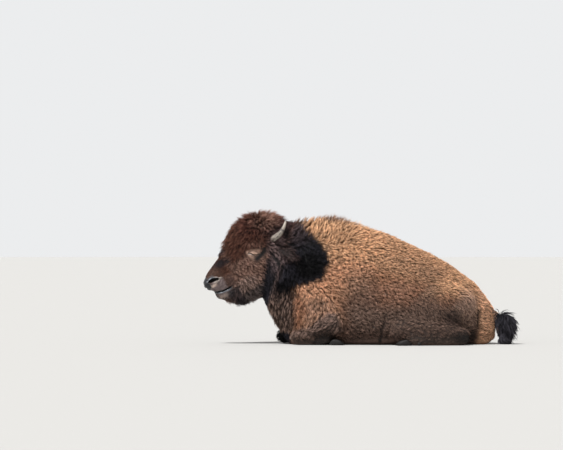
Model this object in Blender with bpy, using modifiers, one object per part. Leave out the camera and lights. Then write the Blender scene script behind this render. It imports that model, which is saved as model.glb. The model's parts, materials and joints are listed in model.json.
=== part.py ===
"""A young plains bison cow lying at rest, life size, as a set of named solids.

The animal lies on its breastbone with its legs folded, its head raised and its eyes closed. It faces -X, its
left side faces -Y and the floor is z = 0. The origin is on the floor under the middle of the trunk.
Every solid reaches out to the tips of the coat. The flesh is modelled whole, as overlapping forms that are
joined, smoothed and simplified, and is then parted with thin cuts into the pieces that a person would name.
Run it with: blender --background --python part.py
"""

import math
from dataclasses import dataclass

import bmesh
import bpy
from mathutils import Matrix, Vector

# Driving dimensions, in metres and degrees.
GAP = 0.0004  # between two neighbouring solids
MERGE = 1e-6  # corners closer than this are one
CUTTER_SIZE = 4.0  # side of a block that cuts away half of space
FLESH_VOXEL = 0.009  # grain at which the forms are joined
FLESH_SMOOTHING = 12  # passes that soften the creases between the forms
FLESH_TRIANGLES = 1650  # of the whole flesh before it is parted
HEAD_PITCH = math.radians(30)  # slope of the head's long axis, from the muzzle up to the poll
HEAD_ORIGIN = Vector((-0.860, 0.0, 0.340))  # middle of the muzzle's front
FLESH_SIDES = 40  # corners of a ring of the trunk's or the head's form
FORM_TUBE = {"sides": 20, "steps": 5, "round_steps": 4}  # how finely a leg's form is made
SOLID_TUBE = {"sides": 8, "steps": 2, "round_steps": 1}  # a horn, an ear or the tail
CUT_TUBE = {"sides": 8, "steps": 1, "round_steps": 1}  # what a leg is parted with
UNDER_FLOOR = -0.02  # how far the forms reach down before the floor trims them

LEFT, RIGHT = -1.0, 1.0  # the sign of Y on either side
SIDES = {"left": LEFT, "right": RIGHT}

# The looks: linear base colour and roughness of each kind of surface.
SURFACES = {
    "hair_dark": ((0.055, 0.032, 0.024), 0.85),
    "hair_brown": ((0.20, 0.11, 0.07), 0.85),
    "hair_tan": ((0.42, 0.24, 0.14), 0.85),
    "hair_black": ((0.014, 0.011, 0.010), 0.80),
    "horn": ((0.30, 0.25, 0.20), 0.40),
    "hoof": ((0.030, 0.026, 0.024), 0.45),
    "eye": ((0.010, 0.007, 0.006), 0.10),
}
# Which surface a part has: the first line whose word is in its name, or tan hair.
SURFACE_OF = (
    ("claw", "hoof"),
    ("horn", "horn"),
    ("eye", "eye"),
    ("tail_tuft", "hair_black"),
    ("head", "hair_dark"),
    ("jaw", "hair_dark"),
    ("ear_", "hair_dark"),
    ("neck", "hair_dark"),
    ("cannon", "hair_dark"),
    ("leg_", "hair_brown"),
    ("", "hair_tan"),
)


@dataclass(frozen=True)
class Section:
    """One cross-section of the trunk or the head, across its long axis.

    at is its place along the axis, top and bottom its reach above and below it, wide its half width and
    level the height at which it is widest. round_up and round_down shape the halves above and below that
    level: 2 is an ellipse, less is more pointed and more is squarer.
    """

    at: float
    top: float
    bottom: float
    wide: float
    level: float
    round_up: float = 2.0
    round_down: float = 2.0


# The trunk and neck, from the throat to the end of the rump: at is X, and the heights are above the floor.
TRUNK = (
    Section(-0.520, 0.560, 0.285, 0.070, 0.42),  # throat
    Section(-0.477, 0.650, 0.195, 0.122, 0.43),  # behind the jaw
    Section(-0.437, 0.694, 0.115, 0.154, 0.42),  # neck
    Section(-0.390, 0.717, 0.052, 0.178, 0.40, 1.9, 2.2),  # front of the brisket
    Section(-0.330, 0.727, UNDER_FLOOR, 0.204, 0.37, 1.8, 2.4),  # brisket
    Section(-0.235, 0.743, UNDER_FLOOR, 0.232, 0.34, 1.65, 2.6),  # shoulder
    Section(-0.134, 0.762, UNDER_FLOOR, 0.250, 0.31, 1.52, 2.8),  # top of the hump
    Section(-0.040, 0.750, UNDER_FLOOR, 0.260, 0.29, 1.52, 2.9),  # withers
    Section(0.072, 0.705, UNDER_FLOOR, 0.276, 0.27, 1.60, 3.0),  # ribs
    Section(0.232, 0.646, UNDER_FLOOR, 0.292, 0.25, 1.65, 3.0),  # belly
    Section(0.347, 0.591, UNDER_FLOOR, 0.280, 0.25, 1.68, 2.9),  # flank
    Section(0.461, 0.539, UNDER_FLOOR, 0.250, 0.26, 1.72, 2.8),  # loin
    Section(0.576, 0.475, UNDER_FLOOR, 0.222, 0.26, 1.85, 2.6),  # hips
    Section(0.667, 0.409, UNDER_FLOOR, 0.196, 0.24, 1.9, 2.4),  # croup
    Section(0.736, 0.353, -0.012, 0.166, 0.20, 1.95, 2.3),  # tail head
    Section(0.800, 0.271, -0.004, 0.132, 0.15, 2.0, 2.1),  # buttocks
    Section(0.838, 0.199, 0.018, 0.088, 0.11),  # back of the rump
    Section(0.852, 0.150, 0.050, 0.042, 0.105),  # end of the rump
)

# The head, from the lips to the poll: at is the distance from the muzzle's front along the head's axis.
HEAD = (
    Section(0.000, 0.022, -0.024, 0.040, 0.0, 2.4, 2.4),  # nose tip
    Section(0.022, 0.036, -0.046, 0.058, -0.004, 2.6, 2.5),  # lips
    Section(0.062, 0.060, -0.076, 0.066, -0.006, 2.6, 2.6),  # nostrils
    Section(0.110, 0.082, -0.092, 0.063, -0.010, 2.3, 2.4),  # corner of the mouth
    Section(0.160, 0.106, -0.112, 0.068, -0.016, 2.0, 2.2),  # nose bridge
    Section(0.196, 0.146, -0.150, 0.082, -0.020, 1.9, 2.1),  # foot of the forelock
    Section(0.242, 0.182, -0.186, 0.102, -0.015),  # cheek
    Section(0.290, 0.213, -0.202, 0.120, -0.008),  # under the eyes
    Section(0.346, 0.239, -0.206, 0.134, 0.006, 2.1, 2.0),  # eyes
    Section(0.415, 0.250, -0.196, 0.146, 0.030, 2.1, 2.0),  # forehead
    Section(0.480, 0.234, -0.168, 0.150, 0.045, 2.1, 2.0),  # horns
    Section(0.536, 0.206, -0.126, 0.138, 0.052),  # crown
    Section(0.588, 0.156, -0.066, 0.096, 0.055),  # poll
    Section(0.610, 0.112, -0.010, 0.045, 0.055),  # back of the head
)

# The lower jaw with its short beard, in the head's frame too.
JAW = (
    Section(0.030, -0.078, -0.100, 0.024, -0.089),  # chin's front
    Section(0.050, -0.070, -0.120, 0.043, -0.098, 2.3, 2.2),  # chin
    Section(0.092, -0.066, -0.166, 0.050, -0.112, 2.2, 1.9),  # beard
    Section(0.143, -0.070, -0.206, 0.056, -0.132, 2.0, 1.8),  # beard's tip
    Section(0.210, -0.080, -0.219, 0.076, -0.143),  # jaw
    Section(0.290, -0.090, -0.218, 0.098, -0.140),  # jaw angle
    Section(0.370, -0.090, -0.180, 0.085, -0.130),  # throat
)


# Swellings on each side of the head: middle and half lengths, in the head's frame.
FACE_SWELLS = {
    "brow": ((0.372, 0.112, 0.050), (0.050, 0.026, 0.024)),
    "nostril_wing": ((0.050, 0.046, 0.004), (0.034, 0.024, 0.030)),
    "cheek": ((0.315, 0.070, -0.090), (0.125, 0.048, 0.100)),
}


@dataclass(frozen=True)
class Limb:
    """A stretch of a leg, the tail or an ear: a tube through places, with the half thickness at each."""

    places: tuple
    thickness: tuple


def foreleg(side, elbow, knee):
    """The stretches of a folded foreleg: elbow to knee, then back along the floor to the pastern."""
    elbow, knee = Vector(elbow), Vector(knee)
    return {
        "forearm": Limb(
            (tuple(elbow), tuple((elbow + knee) / 2 + Vector((0, 0, 0.010))), tuple(knee)),
            (0.070, 0.058, 0.044),
        ),
        "cannon": Limb(
            (
                (knee.x + 0.006, knee.y + 0.004 * side, 0.032),
                (knee.x + 0.080, knee.y + 0.020 * side, 0.027),
                (knee.x + 0.150, knee.y + 0.030 * side, 0.031),
                (knee.x + 0.185, knee.y + 0.034 * side, 0.033),
            ),
            (0.036, 0.027, 0.032, 0.028),
        ),
    }


def hindleg(side, stifle, hock, fetlock):
    """The stretches of a folded hind leg, from the stifle to the hock and forward along the floor."""
    stifle, hock, fetlock = Vector(stifle), Vector(hock), Vector(fetlock)
    return {
        "shank": Limb(
            (
                tuple(stifle + Vector((0.035, 0.0, -0.030))),
                tuple((stifle + hock) / 2 + Vector((0, 0.006 * side, -0.012))),
                tuple(hock),
            ),
            (0.076, 0.070, 0.047),
        ),
        "cannon": Limb(
            (
                tuple(hock + Vector((0.004, 0.012 * side, -0.021))),
                tuple((hock + fetlock) / 2 + Vector((0, 0.008 * side, -0.014))),
                tuple(fetlock),
                tuple(fetlock + Vector((-0.040, 0.004 * side, 0.002))),
            ),
            (0.038, 0.032, 0.035, 0.031),
        ),
    }


LEGS = {
    "foreleg_left": foreleg(LEFT, (-0.112, -0.226, 0.132), (-0.312, -0.186, 0.046)),
    "foreleg_right": foreleg(RIGHT, (-0.175, 0.222, 0.136), (-0.392, 0.140, 0.046)),
    "hindleg_left": hindleg(LEFT, (0.262, -0.252, 0.122), (0.652, -0.252, 0.057), (0.392, -0.304, 0.031)),
    "hindleg_right": hindleg(RIGHT, (0.274, 0.252, 0.120), (0.640, 0.248, 0.057), (0.400, 0.300, 0.031)),
}

# The fleshy top of each leg: the middle and half lengths of an ellipsoid, and its lean in the side view.
HAUNCHES = {
    "foreleg_left": (Vector((-0.212, -0.158, 0.212)), (0.142, 0.122, 0.205), math.radians(17)),
    "foreleg_right": (Vector((-0.246, 0.154, 0.214)), (0.142, 0.120, 0.205), math.radians(17)),
    "hindleg_left": (Vector((0.480, -0.178, 0.205)), (0.268, 0.128, 0.152), math.radians(-12)),
    "hindleg_right": (Vector((0.480, 0.178, 0.205)), (0.262, 0.126, 0.152), math.radians(-12)),
}


# The horns, ears, eyes and tail. Places for the left side are mirrored for the right.
HORN = Limb(
    (
        (-0.460, -0.095, 0.612),
        (-0.443, -0.150, 0.625),
        (-0.414, -0.190, 0.647),
        (-0.391, -0.204, 0.683),
        (-0.380, -0.200, 0.716),
    ),
    (0.0180, 0.0170, 0.0165, 0.0125, 0.0068),
)
EAR = Limb(
    ((-0.410, -0.130, 0.572), (-0.388, -0.166, 0.553), (-0.358, -0.196, 0.522), (-0.332, -0.216, 0.492)),
    (0.026, 0.037, 0.032, 0.011),
)
EAR_FACE = ((-0.20, -0.55, 0.80), 0.26)  # the way its back looks, and its thickness as a share of its width
TAIL = Limb(
    (
        (0.640, 0.0, 0.398),
        (0.722, 0.0, 0.345),
        (0.800, -0.006, 0.252),
        (0.846, -0.014, 0.180),
        (0.874, -0.022, 0.138),
    ),
    (0.024, 0.022, 0.018, 0.016, 0.014),
)
TAIL_TUFT = Limb(
    ((0.866, -0.020, 0.172), (0.894, -0.034, 0.158), (0.914, -0.046, 0.100), (0.908, -0.054, 0.022)),
    (0.020, 0.040, 0.043, 0.028),
)
EYE_RADIUS = 0.019
EYE = (0.346, 0.110, 0.016)  # its middle, in the head's frame
EYE_HOLLOW = (0.062, 0.036, 0.042)  # half lengths of the hollow in the hair round the lids
EYELIDS = (0.048, 0.028, 0.031)  # half lengths of the two lids together
EYE_SLIT = (0.040, 0.050, 0.0025)  # half lengths of the slit between the lids
SLIT_DROP = math.radians(6)  # of the slit towards its back corner, against the level
NOSTRIL = ((0.072, 0.062, 0.000), (0.033, 0.024, 0.0115))  # middle and half lengths, in the head's frame
MOUTH = ((0.026, -0.051), (0.148, -0.088))  # the line of the lips, along and up in the head's frame
JAW_BACK = 0.215  # how far back along the head the lower jaw is parted from it

# The hooves: where the claws of each foot begin, and the way they point.
CLAW_LENGTH = 0.096
CLAW_RINGS = 5
CLAW_SIDES = 8
CLAW_SQUARE = 0.75  # below 1, a squarer section
CLAW_END = 0.15  # size of its blunt ends, as a share of its section
CLAW_TAPER = 0.35  # how much narrower it gets towards the tip
CLAW_WIDE = 0.021  # half width of one claw
CLAW_HIGH = 0.026  # its half height at the heel
CLAW_TIP = 0.013  # and at the tip
UNDER_CLAW = 0.003  # how far it would reach under the floor before it is trimmed
CLAW_SPREAD = 0.0225  # from the foot's middle line to the middle of a claw
DEWCLAW = (0.015, 0.010, 0.010)  # its half lengths
DEWCLAW_SPREAD = 0.017  # from the foot's middle line
DEWCLAW_GRAIN = (6, 4)  # its corners around and along
HOLLOW_SHIFT = 0.0416  # from the eye's middle out to the middle of the hollow in the hair
# The cuts: a point of the plane, and the way to the piece that is parted.
HEAD_PLANE = (Vector((-0.415, 0, 0.485)), Vector((-0.954, 0, 0.300)))
NECK_PLANE = (Vector((-0.275, 0, 0.375)), Vector((-0.978, 0, 0.209)))
LIMB_MARGIN = 0.014  # how far the parting of a leg keeps outside its bare form


def head_point(along, across, up):
    """A place given in the head's frame: along its axis from the muzzle, across to its right, and up."""
    axis = Vector((math.cos(HEAD_PITCH), 0, math.sin(HEAD_PITCH)))
    rise = Vector((-math.sin(HEAD_PITCH), 0, math.cos(HEAD_PITCH)))
    return HEAD_ORIGIN + axis * along + Vector((0, across, 0)) + rise * up


def smooth_value(values, t):
    """The value at t, from 0 to the last index, on a Catmull-Rom curve through values."""
    i = min(int(t), len(values) - 2)
    u = t - i
    before, a = values[max(i - 1, 0)], values[i]
    b, after = values[i + 1], values[min(i + 2, len(values) - 1)]
    return (
        a
        + (b - before) * (u / 2)
        + (before * 2 - a * 5 + b * 4 - after) * (u * u / 2)
        + (a * 3 - b * 3 + after - before) * (u * u * u / 2)
    )


def link(name, mesh):
    """A new object with this mesh, in the bison's collection."""
    obj = bpy.data.objects.new(name, mesh)
    bison.objects.link(obj)
    return obj


def skin_rings(name, rings):
    """A closed solid over rings of points, each with as many corners, capped at both ends."""
    bm = bmesh.new()
    loops = [[bm.verts.new(place) for place in ring] for ring in rings]
    for one, other in zip(loops, loops[1:]):
        for i in range(len(one)):
            j = (i + 1) % len(one)
            bm.faces.new((one[i], one[j], other[j], other[i]))
    bm.faces.new(loops[0][::-1])
    bm.faces.new(loops[-1])
    bmesh.ops.recalc_face_normals(bm, faces=bm.faces)
    mesh = bpy.data.meshes.new(name)
    bm.to_mesh(mesh)
    bm.free()
    return link(name, mesh)


def power(value, exponent):
    return math.copysign(abs(value) ** exponent, value)


def section_loft(name, sections, place, steps=4):
    """The solid through sections, in steps rings each; place turns (at, across, up) to a point."""
    rings = []
    for k in range((len(sections) - 1) * steps + 1):
        s = [
            smooth_value([getattr(section, field) for section in sections], k / steps)
            for field in ("at", "top", "bottom", "wide", "level", "round_up", "round_down")
        ]
        at, top, bottom, wide, level, round_up, round_down = s
        ring = []
        for i in range(FLESH_SIDES):
            turn = math.tau * i / FLESH_SIDES
            above = math.sin(turn) >= 0
            bend = 2 / (round_up if above else round_down)
            reach = top - level if above else level - bottom
            across = wide * power(math.cos(turn), bend)
            ring.append(place(at, across, level + reach * power(math.sin(turn), bend)))
        rings.append(ring)
    return skin_rings(name, rings)


def limb_tube(name, limb, grow=0.0, flat=None, grain=SOLID_TUBE):
    """A round-ended tube along a limb, thicker by grow; flat = (direction, share) thins it one way."""
    sides, steps, round_steps = grain["sides"], grain["steps"], grain["round_steps"]
    places = [Vector(place) for place in limb.places]
    count = (len(places) - 1) * steps
    line = [smooth_value(places, k / steps) for k in range(count + 1)]
    thick = [smooth_value(limb.thickness, k / steps) + grow for k in range(count + 1)]
    ends = []
    for end, inner, radius in ((line[0], line[1], thick[0]), (line[-1], line[-2], thick[-1])):
        out = (end - inner).normalized()
        turns = [math.pi / 2 * (k + 1) / (round_steps + 1) for k in range(round_steps)]
        ends.append([(end + out * radius * math.sin(turn), radius * math.cos(turn)) for turn in turns])
    spine = ends[0][::-1] + list(zip(line, thick)) + ends[1]
    side = (line[1] - line[0]).orthogonal().normalized()
    rings = []
    for k, (centre, radius) in enumerate(spine):
        ahead = spine[min(k + 1, len(spine) - 1)][0] - spine[max(k - 1, 0)][0]
        ahead.normalize()
        side = (side - ahead * side.dot(ahead)).normalized()
        up = ahead.cross(side)
        ring = []
        for i in range(sides):
            turn = math.tau * i / sides
            out = (side * math.cos(turn) + up * math.sin(turn)) * radius
            if flat:
                across = Vector(flat[0]).normalized()
                out -= across * out.dot(across) * (1 - flat[1])
            ring.append(centre + out)
        rings.append(ring)
    return skin_rings(name, rings)


def ellipsoid(name, centre, radii, turn=None, around=10, along=7):
    """A ball stretched to radii, turned by the matrix turn."""
    mesh = bpy.data.meshes.new(name)
    bm = bmesh.new()
    bmesh.ops.create_uvsphere(bm, u_segments=around, v_segments=along, radius=1.0)
    matrix = Matrix.Translation(centre) @ (turn or Matrix.Identity(4)) @ Matrix.Diagonal((*radii, 1))
    bmesh.ops.transform(bm, matrix=matrix, verts=bm.verts)
    bm.to_mesh(mesh)
    bm.free()
    return link(name, mesh)


def bake_modifiers(obj):
    """Gives an object the mesh that its modifiers make of it, and removes them."""
    graph = bpy.context.evaluated_depsgraph_get()
    made = bpy.data.meshes.new_from_object(obj.evaluated_get(graph))
    old = obj.data
    obj.modifiers.clear()
    obj.data = made
    bpy.data.meshes.remove(old)


def discard(obj):
    mesh = obj.data
    bpy.data.objects.remove(obj)
    bpy.data.meshes.remove(mesh)


def combine(obj, tool, operation):
    """Applies a Boolean of obj with the mesh object tool."""
    boolean = obj.modifiers.new("combine", "BOOLEAN")
    boolean.operation = operation
    boolean.solver = "EXACT"
    boolean.object = tool
    bake_modifiers(obj)


def keep_largest_body(obj):
    """Removes the crumbs that a cut leaves beside the main body of a mesh."""
    bm = bmesh.new()
    bm.from_mesh(obj.data)
    bmesh.ops.remove_doubles(bm, verts=bm.verts, dist=MERGE)
    islands, seen = [], set()
    for start in bm.verts:
        if start in seen:
            continue
        island, front = {start}, [start]
        while front:
            for edge in front.pop().link_edges:
                for vert in edge.verts:
                    if vert not in island:
                        island.add(vert)
                        front.append(vert)
        seen |= island
        islands.append(island)
    islands.sort(key=len)
    for island in islands[:-1]:
        bmesh.ops.delete(bm, geom=list(island), context="VERTS")
    bm.to_mesh(obj.data)
    bm.free()


def take_part(name, body, domain):
    """Splits off what lies in a domain as a new object, and leaves a gap round it in the body.

    domain builds the same solid for any growth, so that the body is cut by one that is a gap larger.
    """
    part = link(name, body.data.copy())
    tool = domain(0.0)
    combine(part, tool, "INTERSECT")
    discard(tool)
    tool = domain(GAP)
    combine(body, tool, "DIFFERENCE")
    discard(tool)
    keep_largest_body(part)
    keep_largest_body(body)
    return part


def half_space(point, towards):
    """A domain: all that lies beyond a plane, on the side that towards points to."""
    towards = Vector(towards).normalized()

    def build(grow):
        mesh = bpy.data.meshes.new("half")
        bm = bmesh.new()
        bmesh.ops.create_cube(bm, size=CUTTER_SIZE)
        turn = towards.to_track_quat("Z", "Y").to_matrix().to_4x4()
        centre = Vector(point) + towards * (CUTTER_SIZE / 2 - grow)
        bmesh.ops.transform(bm, matrix=Matrix.Translation(centre) @ turn, verts=bm.verts)
        bm.to_mesh(mesh)
        bm.free()
        return link("half", mesh)

    return build


def finish(obj):
    """Gives a finished solid its own material and flat shading."""
    surface = next(surface for word, surface in SURFACE_OF if word in obj.name)
    colour, roughness = SURFACES[surface]
    made = bpy.data.materials.new(f"{obj.name}_{surface}")
    made.use_nodes = True
    shader = made.node_tree.nodes["Principled BSDF"]
    shader.inputs["Base Color"].default_value = (*colour, 1)
    shader.inputs["Roughness"].default_value = roughness
    obj.data.materials.clear()
    obj.data.materials.append(made)
    obj.data.shade_flat()


def haunch(leg, grow):
    """The fleshy top of a leg as an ellipsoid, larger by grow all round."""
    middle, radii, lean = HAUNCHES[leg]
    return ellipsoid(f"{leg}_haunch", middle, [r + grow for r in radii], Matrix.Rotation(lean, 4, "Y"))


def flesh():
    """The whole flesh as one solid: all the forms joined, smoothed, simplified and trimmed at the floor."""
    forms = [
        section_loft("trunk_form", TRUNK, lambda at, across, up: Vector((at, across, up))),
        section_loft("head_form", HEAD, head_point),
        section_loft("jaw_form", JAW, head_point),
    ]
    head_turn = Matrix.Rotation(-HEAD_PITCH, 4, "Y")
    for side in SIDES.values():
        for name, ((along, across, up), radii) in FACE_SWELLS.items():
            forms.append(ellipsoid(f"{name}_form", head_point(along, across * side, up), radii, head_turn))
    for leg, stretches in LEGS.items():
        forms += [haunch(leg, 0.0)]
        for name, limb in stretches.items():
            forms.append(limb_tube(f"{leg}_{name}_form", limb, grain=FORM_TUBE))
    body = join(forms, "flesh")
    remesh = body.modifiers.new("join", "REMESH")
    remesh.mode = "VOXEL"
    remesh.voxel_size = FLESH_VOXEL
    smooth = body.modifiers.new("smooth", "SMOOTH")
    smooth.factor = 0.5
    smooth.iterations = FLESH_SMOOTHING
    bake_modifiers(body)
    simplify = body.modifiers.new("simplify", "DECIMATE")
    simplify.ratio = FLESH_TRIANGLES / (2 * len(body.data.polygons))
    bake_modifiers(body)
    floor = half_space((0, 0, 0), (0, 0, 1))(0.0)
    combine(body, floor, "INTERSECT")
    discard(floor)
    keep_largest_body(body)
    return body


def join(objects, name):
    """Several mesh objects as one."""
    bm = bmesh.new()
    for obj in objects:
        bm.from_mesh(obj.data)
        discard(obj)
    mesh = bpy.data.meshes.new(name)
    bm.to_mesh(mesh)
    bm.free()
    return link(name, mesh)


def mirrored(limb, side):
    """A limb given for the left side, on either side."""
    return Limb(tuple((x, y * -side, z) for x, y, z in limb.places), limb.thickness)


def fit_into(solid, *hosts):
    """Cuts a socket for a solid in each host, with a gap all round; solid builds it for any growth."""
    for host in hosts:
        tool = solid(GAP)
        combine(host, tool, "DIFFERENCE")
        discard(tool)
        keep_largest_body(host)


def trim_at_floor(obj):
    floor = half_space((0, 0, 0), (0, 0, 1))(0.0)
    combine(obj, floor, "INTERSECT")
    discard(floor)


def claw(name, base, ahead, across, grow):
    """One claw of a hoof, larger by grow all round: a rounded wedge from base along ahead."""
    ahead, across = Vector(ahead).normalized(), Vector(across).normalized()
    up = Vector((0, 0, 1))
    rings = []
    for k in range(CLAW_RINGS):
        t = k / (CLAW_RINGS - 1)
        blunt = CLAW_END + (1 - CLAW_END) * math.sqrt(1 - (2 * t - 1) ** 6)
        high = (CLAW_HIGH + (CLAW_TIP - CLAW_HIGH) * t) * blunt
        wide = CLAW_WIDE * (1 - CLAW_TAPER * t * t) * blunt + grow
        middle = base + ahead * (CLAW_LENGTH * t + grow * (2 * t - 1)) + up * (high - UNDER_CLAW)
        high += grow
        ring = []
        for i in range(CLAW_SIDES):
            turn = math.tau * (i + 0.5) / CLAW_SIDES
            out = across * wide * power(math.cos(turn), CLAW_SQUARE)
            ring.append(middle + out + up * high * power(math.sin(turn), CLAW_SQUARE))
        rings.append(ring)
    return skin_rings(name, rings)


def part_legs(body, parts):
    """Takes the stretches of the four legs out of the body, from the feet up."""
    for leg, stretches in LEGS.items():
        for stretch in reversed(list(stretches)):
            name = f"{leg}_{stretch}"
            limb = stretches[stretch]
            parts[name] = take_part(
                name, body, lambda grow: limb_tube("tool", limb, LIMB_MARGIN + grow, grain=CUT_TUBE)
            )
    for leg in LEGS:
        name = f"{leg}_{'thigh' if leg.startswith('hind') else 'upper'}"
        parts[name] = take_part(name, body, lambda grow: haunch(leg, LIMB_MARGIN + grow))


def eye_domain(side, grow):
    return ellipsoid("eye", head_point(EYE[0], EYE[1] * side, EYE[2]), [EYE_RADIUS + grow] * 3)


def open_face(head):
    """The hollows, lids, slits and nostrils of the face."""
    level = Matrix.Rotation(SLIT_DROP, 4, "Y")
    sloped = Matrix.Rotation(-HEAD_PITCH, 4, "Y")
    for side in SIDES.values():
        middle = head_point(EYE[0], EYE[1] * side, EYE[2])
        outward = Vector((0, side, 0))
        (along, across, up), nostril = NOSTRIL
        steps = (
            ("DIFFERENCE", middle + outward * HOLLOW_SHIFT, EYE_HOLLOW, level),
            ("UNION", middle, EYELIDS, level),
            ("DIFFERENCE", middle + outward * EYE_RADIUS, EYE_SLIT, level),
            ("DIFFERENCE", head_point(along, across * side, up), nostril, sloped),
        )
        for operation, centre, radii, turn in steps:
            tool = ellipsoid("tool", centre, radii, turn)
            combine(head, tool, operation)
            discard(tool)


def jaw_domain(grow):
    """Everything under the line of the lips and ahead of the jaw's back."""
    start = Vector((MOUTH[0][0], MOUTH[0][1]))
    slope = (Vector((MOUTH[1][0], MOUTH[1][1])) - start).normalized()
    square = Vector((-slope.y, slope.x))
    far = CUTTER_SIZE / 4
    corners = []
    for along, up in ((-far, grow), (JAW_BACK + grow, grow), (JAW_BACK + grow, -far), (-far, -far)):
        corners.append(start + slope * along + square * up)
    rings = [[head_point(c.x, across, c.y) for c in corners] for across in (-far, far)]
    return skin_rings("tool", rings)


def dewclaw(name, middle, turn, grow):
    return ellipsoid(name, middle, [radius + grow for radius in DEWCLAW], turn, *DEWCLAW_GRAIN)


def fit_foot(leg, parts):
    """The two claws and two dewclaws of a foot, sunk in the flesh that they touch."""
    limb = LEGS[leg]["cannon"]
    fore = leg.startswith("fore")
    fetlock, end = Vector(limb.places[-2]), Vector(limb.places[-1])
    ahead = Vector((end.x - fetlock.x, end.y - fetlock.y, 0)).normalized()
    across = Vector((-ahead.y, ahead.x, 0))
    outer = 1.0 if across.y * (-1 if leg.endswith("left") else 1) > 0 else -1.0
    flesh_round = [parts[name] for name in parts if name.startswith(leg) and "claw" not in name]
    flesh_round.append(parts["trunk"])
    for word, sign in (("outer", outer), ("inner", -outer)):
        base = Vector((end.x, end.y, 0)) + across * CLAW_SPREAD * sign
        if fore:
            dew = fetlock + across * DEWCLAW_SPREAD * sign + Vector((0, 0, limb.thickness[-2]))
        else:
            dew = fetlock + across * limb.thickness[-2] * sign + Vector((0, 0, DEWCLAW[2] - fetlock.z))
        turn = ahead.to_track_quat("X", "Z").to_matrix().to_4x4()
        solids = {
            f"{leg}_claw_{word}": lambda name, grow: claw(name, base, ahead, across, grow),
            f"{leg}_dewclaw_{word}": lambda name, grow: dewclaw(name, dew, turn, grow),
        }
        for name, solid in solids.items():
            fit_into(lambda grow: solid("tool", grow), *flesh_round)
            parts[name] = solid(name, 0.0)
            trim_at_floor(parts[name])


def main():
    body = flesh()
    parts = {}
    part_legs(body, parts)
    for word, side in SIDES.items():
        horn, ear = mirrored(HORN, side), mirrored(EAR, side)
        face = ((EAR_FACE[0][0], EAR_FACE[0][1] * -side, EAR_FACE[0][2]), EAR_FACE[1])
        fit_into(lambda grow: limb_tube("tool", horn, grow), body)
        fit_into(lambda grow: limb_tube("tool", ear, grow, face), body)
        parts[f"horn_{word}"] = limb_tube(f"horn_{word}", horn)
        parts[f"ear_{word}"] = limb_tube(f"ear_{word}", ear, 0.0, face)
    parts["tail"] = limb_tube("tail", TAIL)
    parts["tail_tuft"] = limb_tube("tail_tuft", TAIL_TUFT)
    trim_at_floor(parts["tail_tuft"])
    fit_into(lambda grow: limb_tube("tool", TAIL, grow), body, parts["tail_tuft"])
    parts["head"] = take_part("head", body, half_space(*HEAD_PLANE))
    parts["neck"] = take_part("neck", body, half_space(*NECK_PLANE))
    body.name = "trunk"
    parts["trunk"] = body
    parts["lower_jaw"] = take_part("lower_jaw", parts["head"], jaw_domain)
    open_face(parts["head"])
    for word, side in SIDES.items():
        fit_into(lambda grow: eye_domain(side, grow), parts["head"])
        eye = eye_domain(side, 0.0)
        eye.name = f"eye_{word}"
        parts[eye.name] = eye
    for leg in LEGS:
        fit_foot(leg, parts)
    for part in parts.values():
        finish(part)


for old in list(bpy.data.objects):
    bpy.data.objects.remove(old)
bison = bpy.data.collections.new("bison")
bpy.context.scene.collection.children.link(bison)
main()
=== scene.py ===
import json
import logging
import math
from collections.abc import Callable
from dataclasses import dataclass, field
from enum import Enum

import bmesh
import bpy
import numpy as np
from mathutils import Matrix, Vector
from mathutils.bvhtree import BVHTree

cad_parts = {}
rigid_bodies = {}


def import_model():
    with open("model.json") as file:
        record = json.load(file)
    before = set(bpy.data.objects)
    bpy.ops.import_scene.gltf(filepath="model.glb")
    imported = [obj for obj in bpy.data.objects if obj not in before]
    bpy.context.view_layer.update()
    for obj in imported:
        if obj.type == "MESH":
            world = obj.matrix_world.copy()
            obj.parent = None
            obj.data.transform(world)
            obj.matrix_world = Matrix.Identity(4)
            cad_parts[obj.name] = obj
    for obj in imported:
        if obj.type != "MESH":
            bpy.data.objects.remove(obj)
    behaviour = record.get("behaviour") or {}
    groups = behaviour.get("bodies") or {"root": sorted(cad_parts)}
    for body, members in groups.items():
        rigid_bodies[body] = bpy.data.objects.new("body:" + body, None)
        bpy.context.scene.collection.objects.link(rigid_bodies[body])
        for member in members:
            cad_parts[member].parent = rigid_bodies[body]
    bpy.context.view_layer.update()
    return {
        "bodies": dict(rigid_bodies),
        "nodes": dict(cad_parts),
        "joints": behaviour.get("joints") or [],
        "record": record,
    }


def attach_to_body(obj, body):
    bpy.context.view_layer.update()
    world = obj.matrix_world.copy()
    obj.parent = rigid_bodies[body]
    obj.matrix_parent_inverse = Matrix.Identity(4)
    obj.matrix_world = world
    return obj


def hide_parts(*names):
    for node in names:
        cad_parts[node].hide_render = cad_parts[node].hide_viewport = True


# A young plains bison cow at rest: one skin over the flesh, a coat of solid locks over the skin, and
# horns, hooves and eyes of their own. The animal faces -X, its left side faces -Y, the floor is z = 0.

log = logging.getLogger("bison")

LEFT, RIGHT = -1.0, 1.0  # the sign of Y on either side
UV_MAP = "OFBake"
EYE_RADIUS = 0.019
MERGE = 1e-5  # corners of a solid that are nearer than this are one


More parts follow.
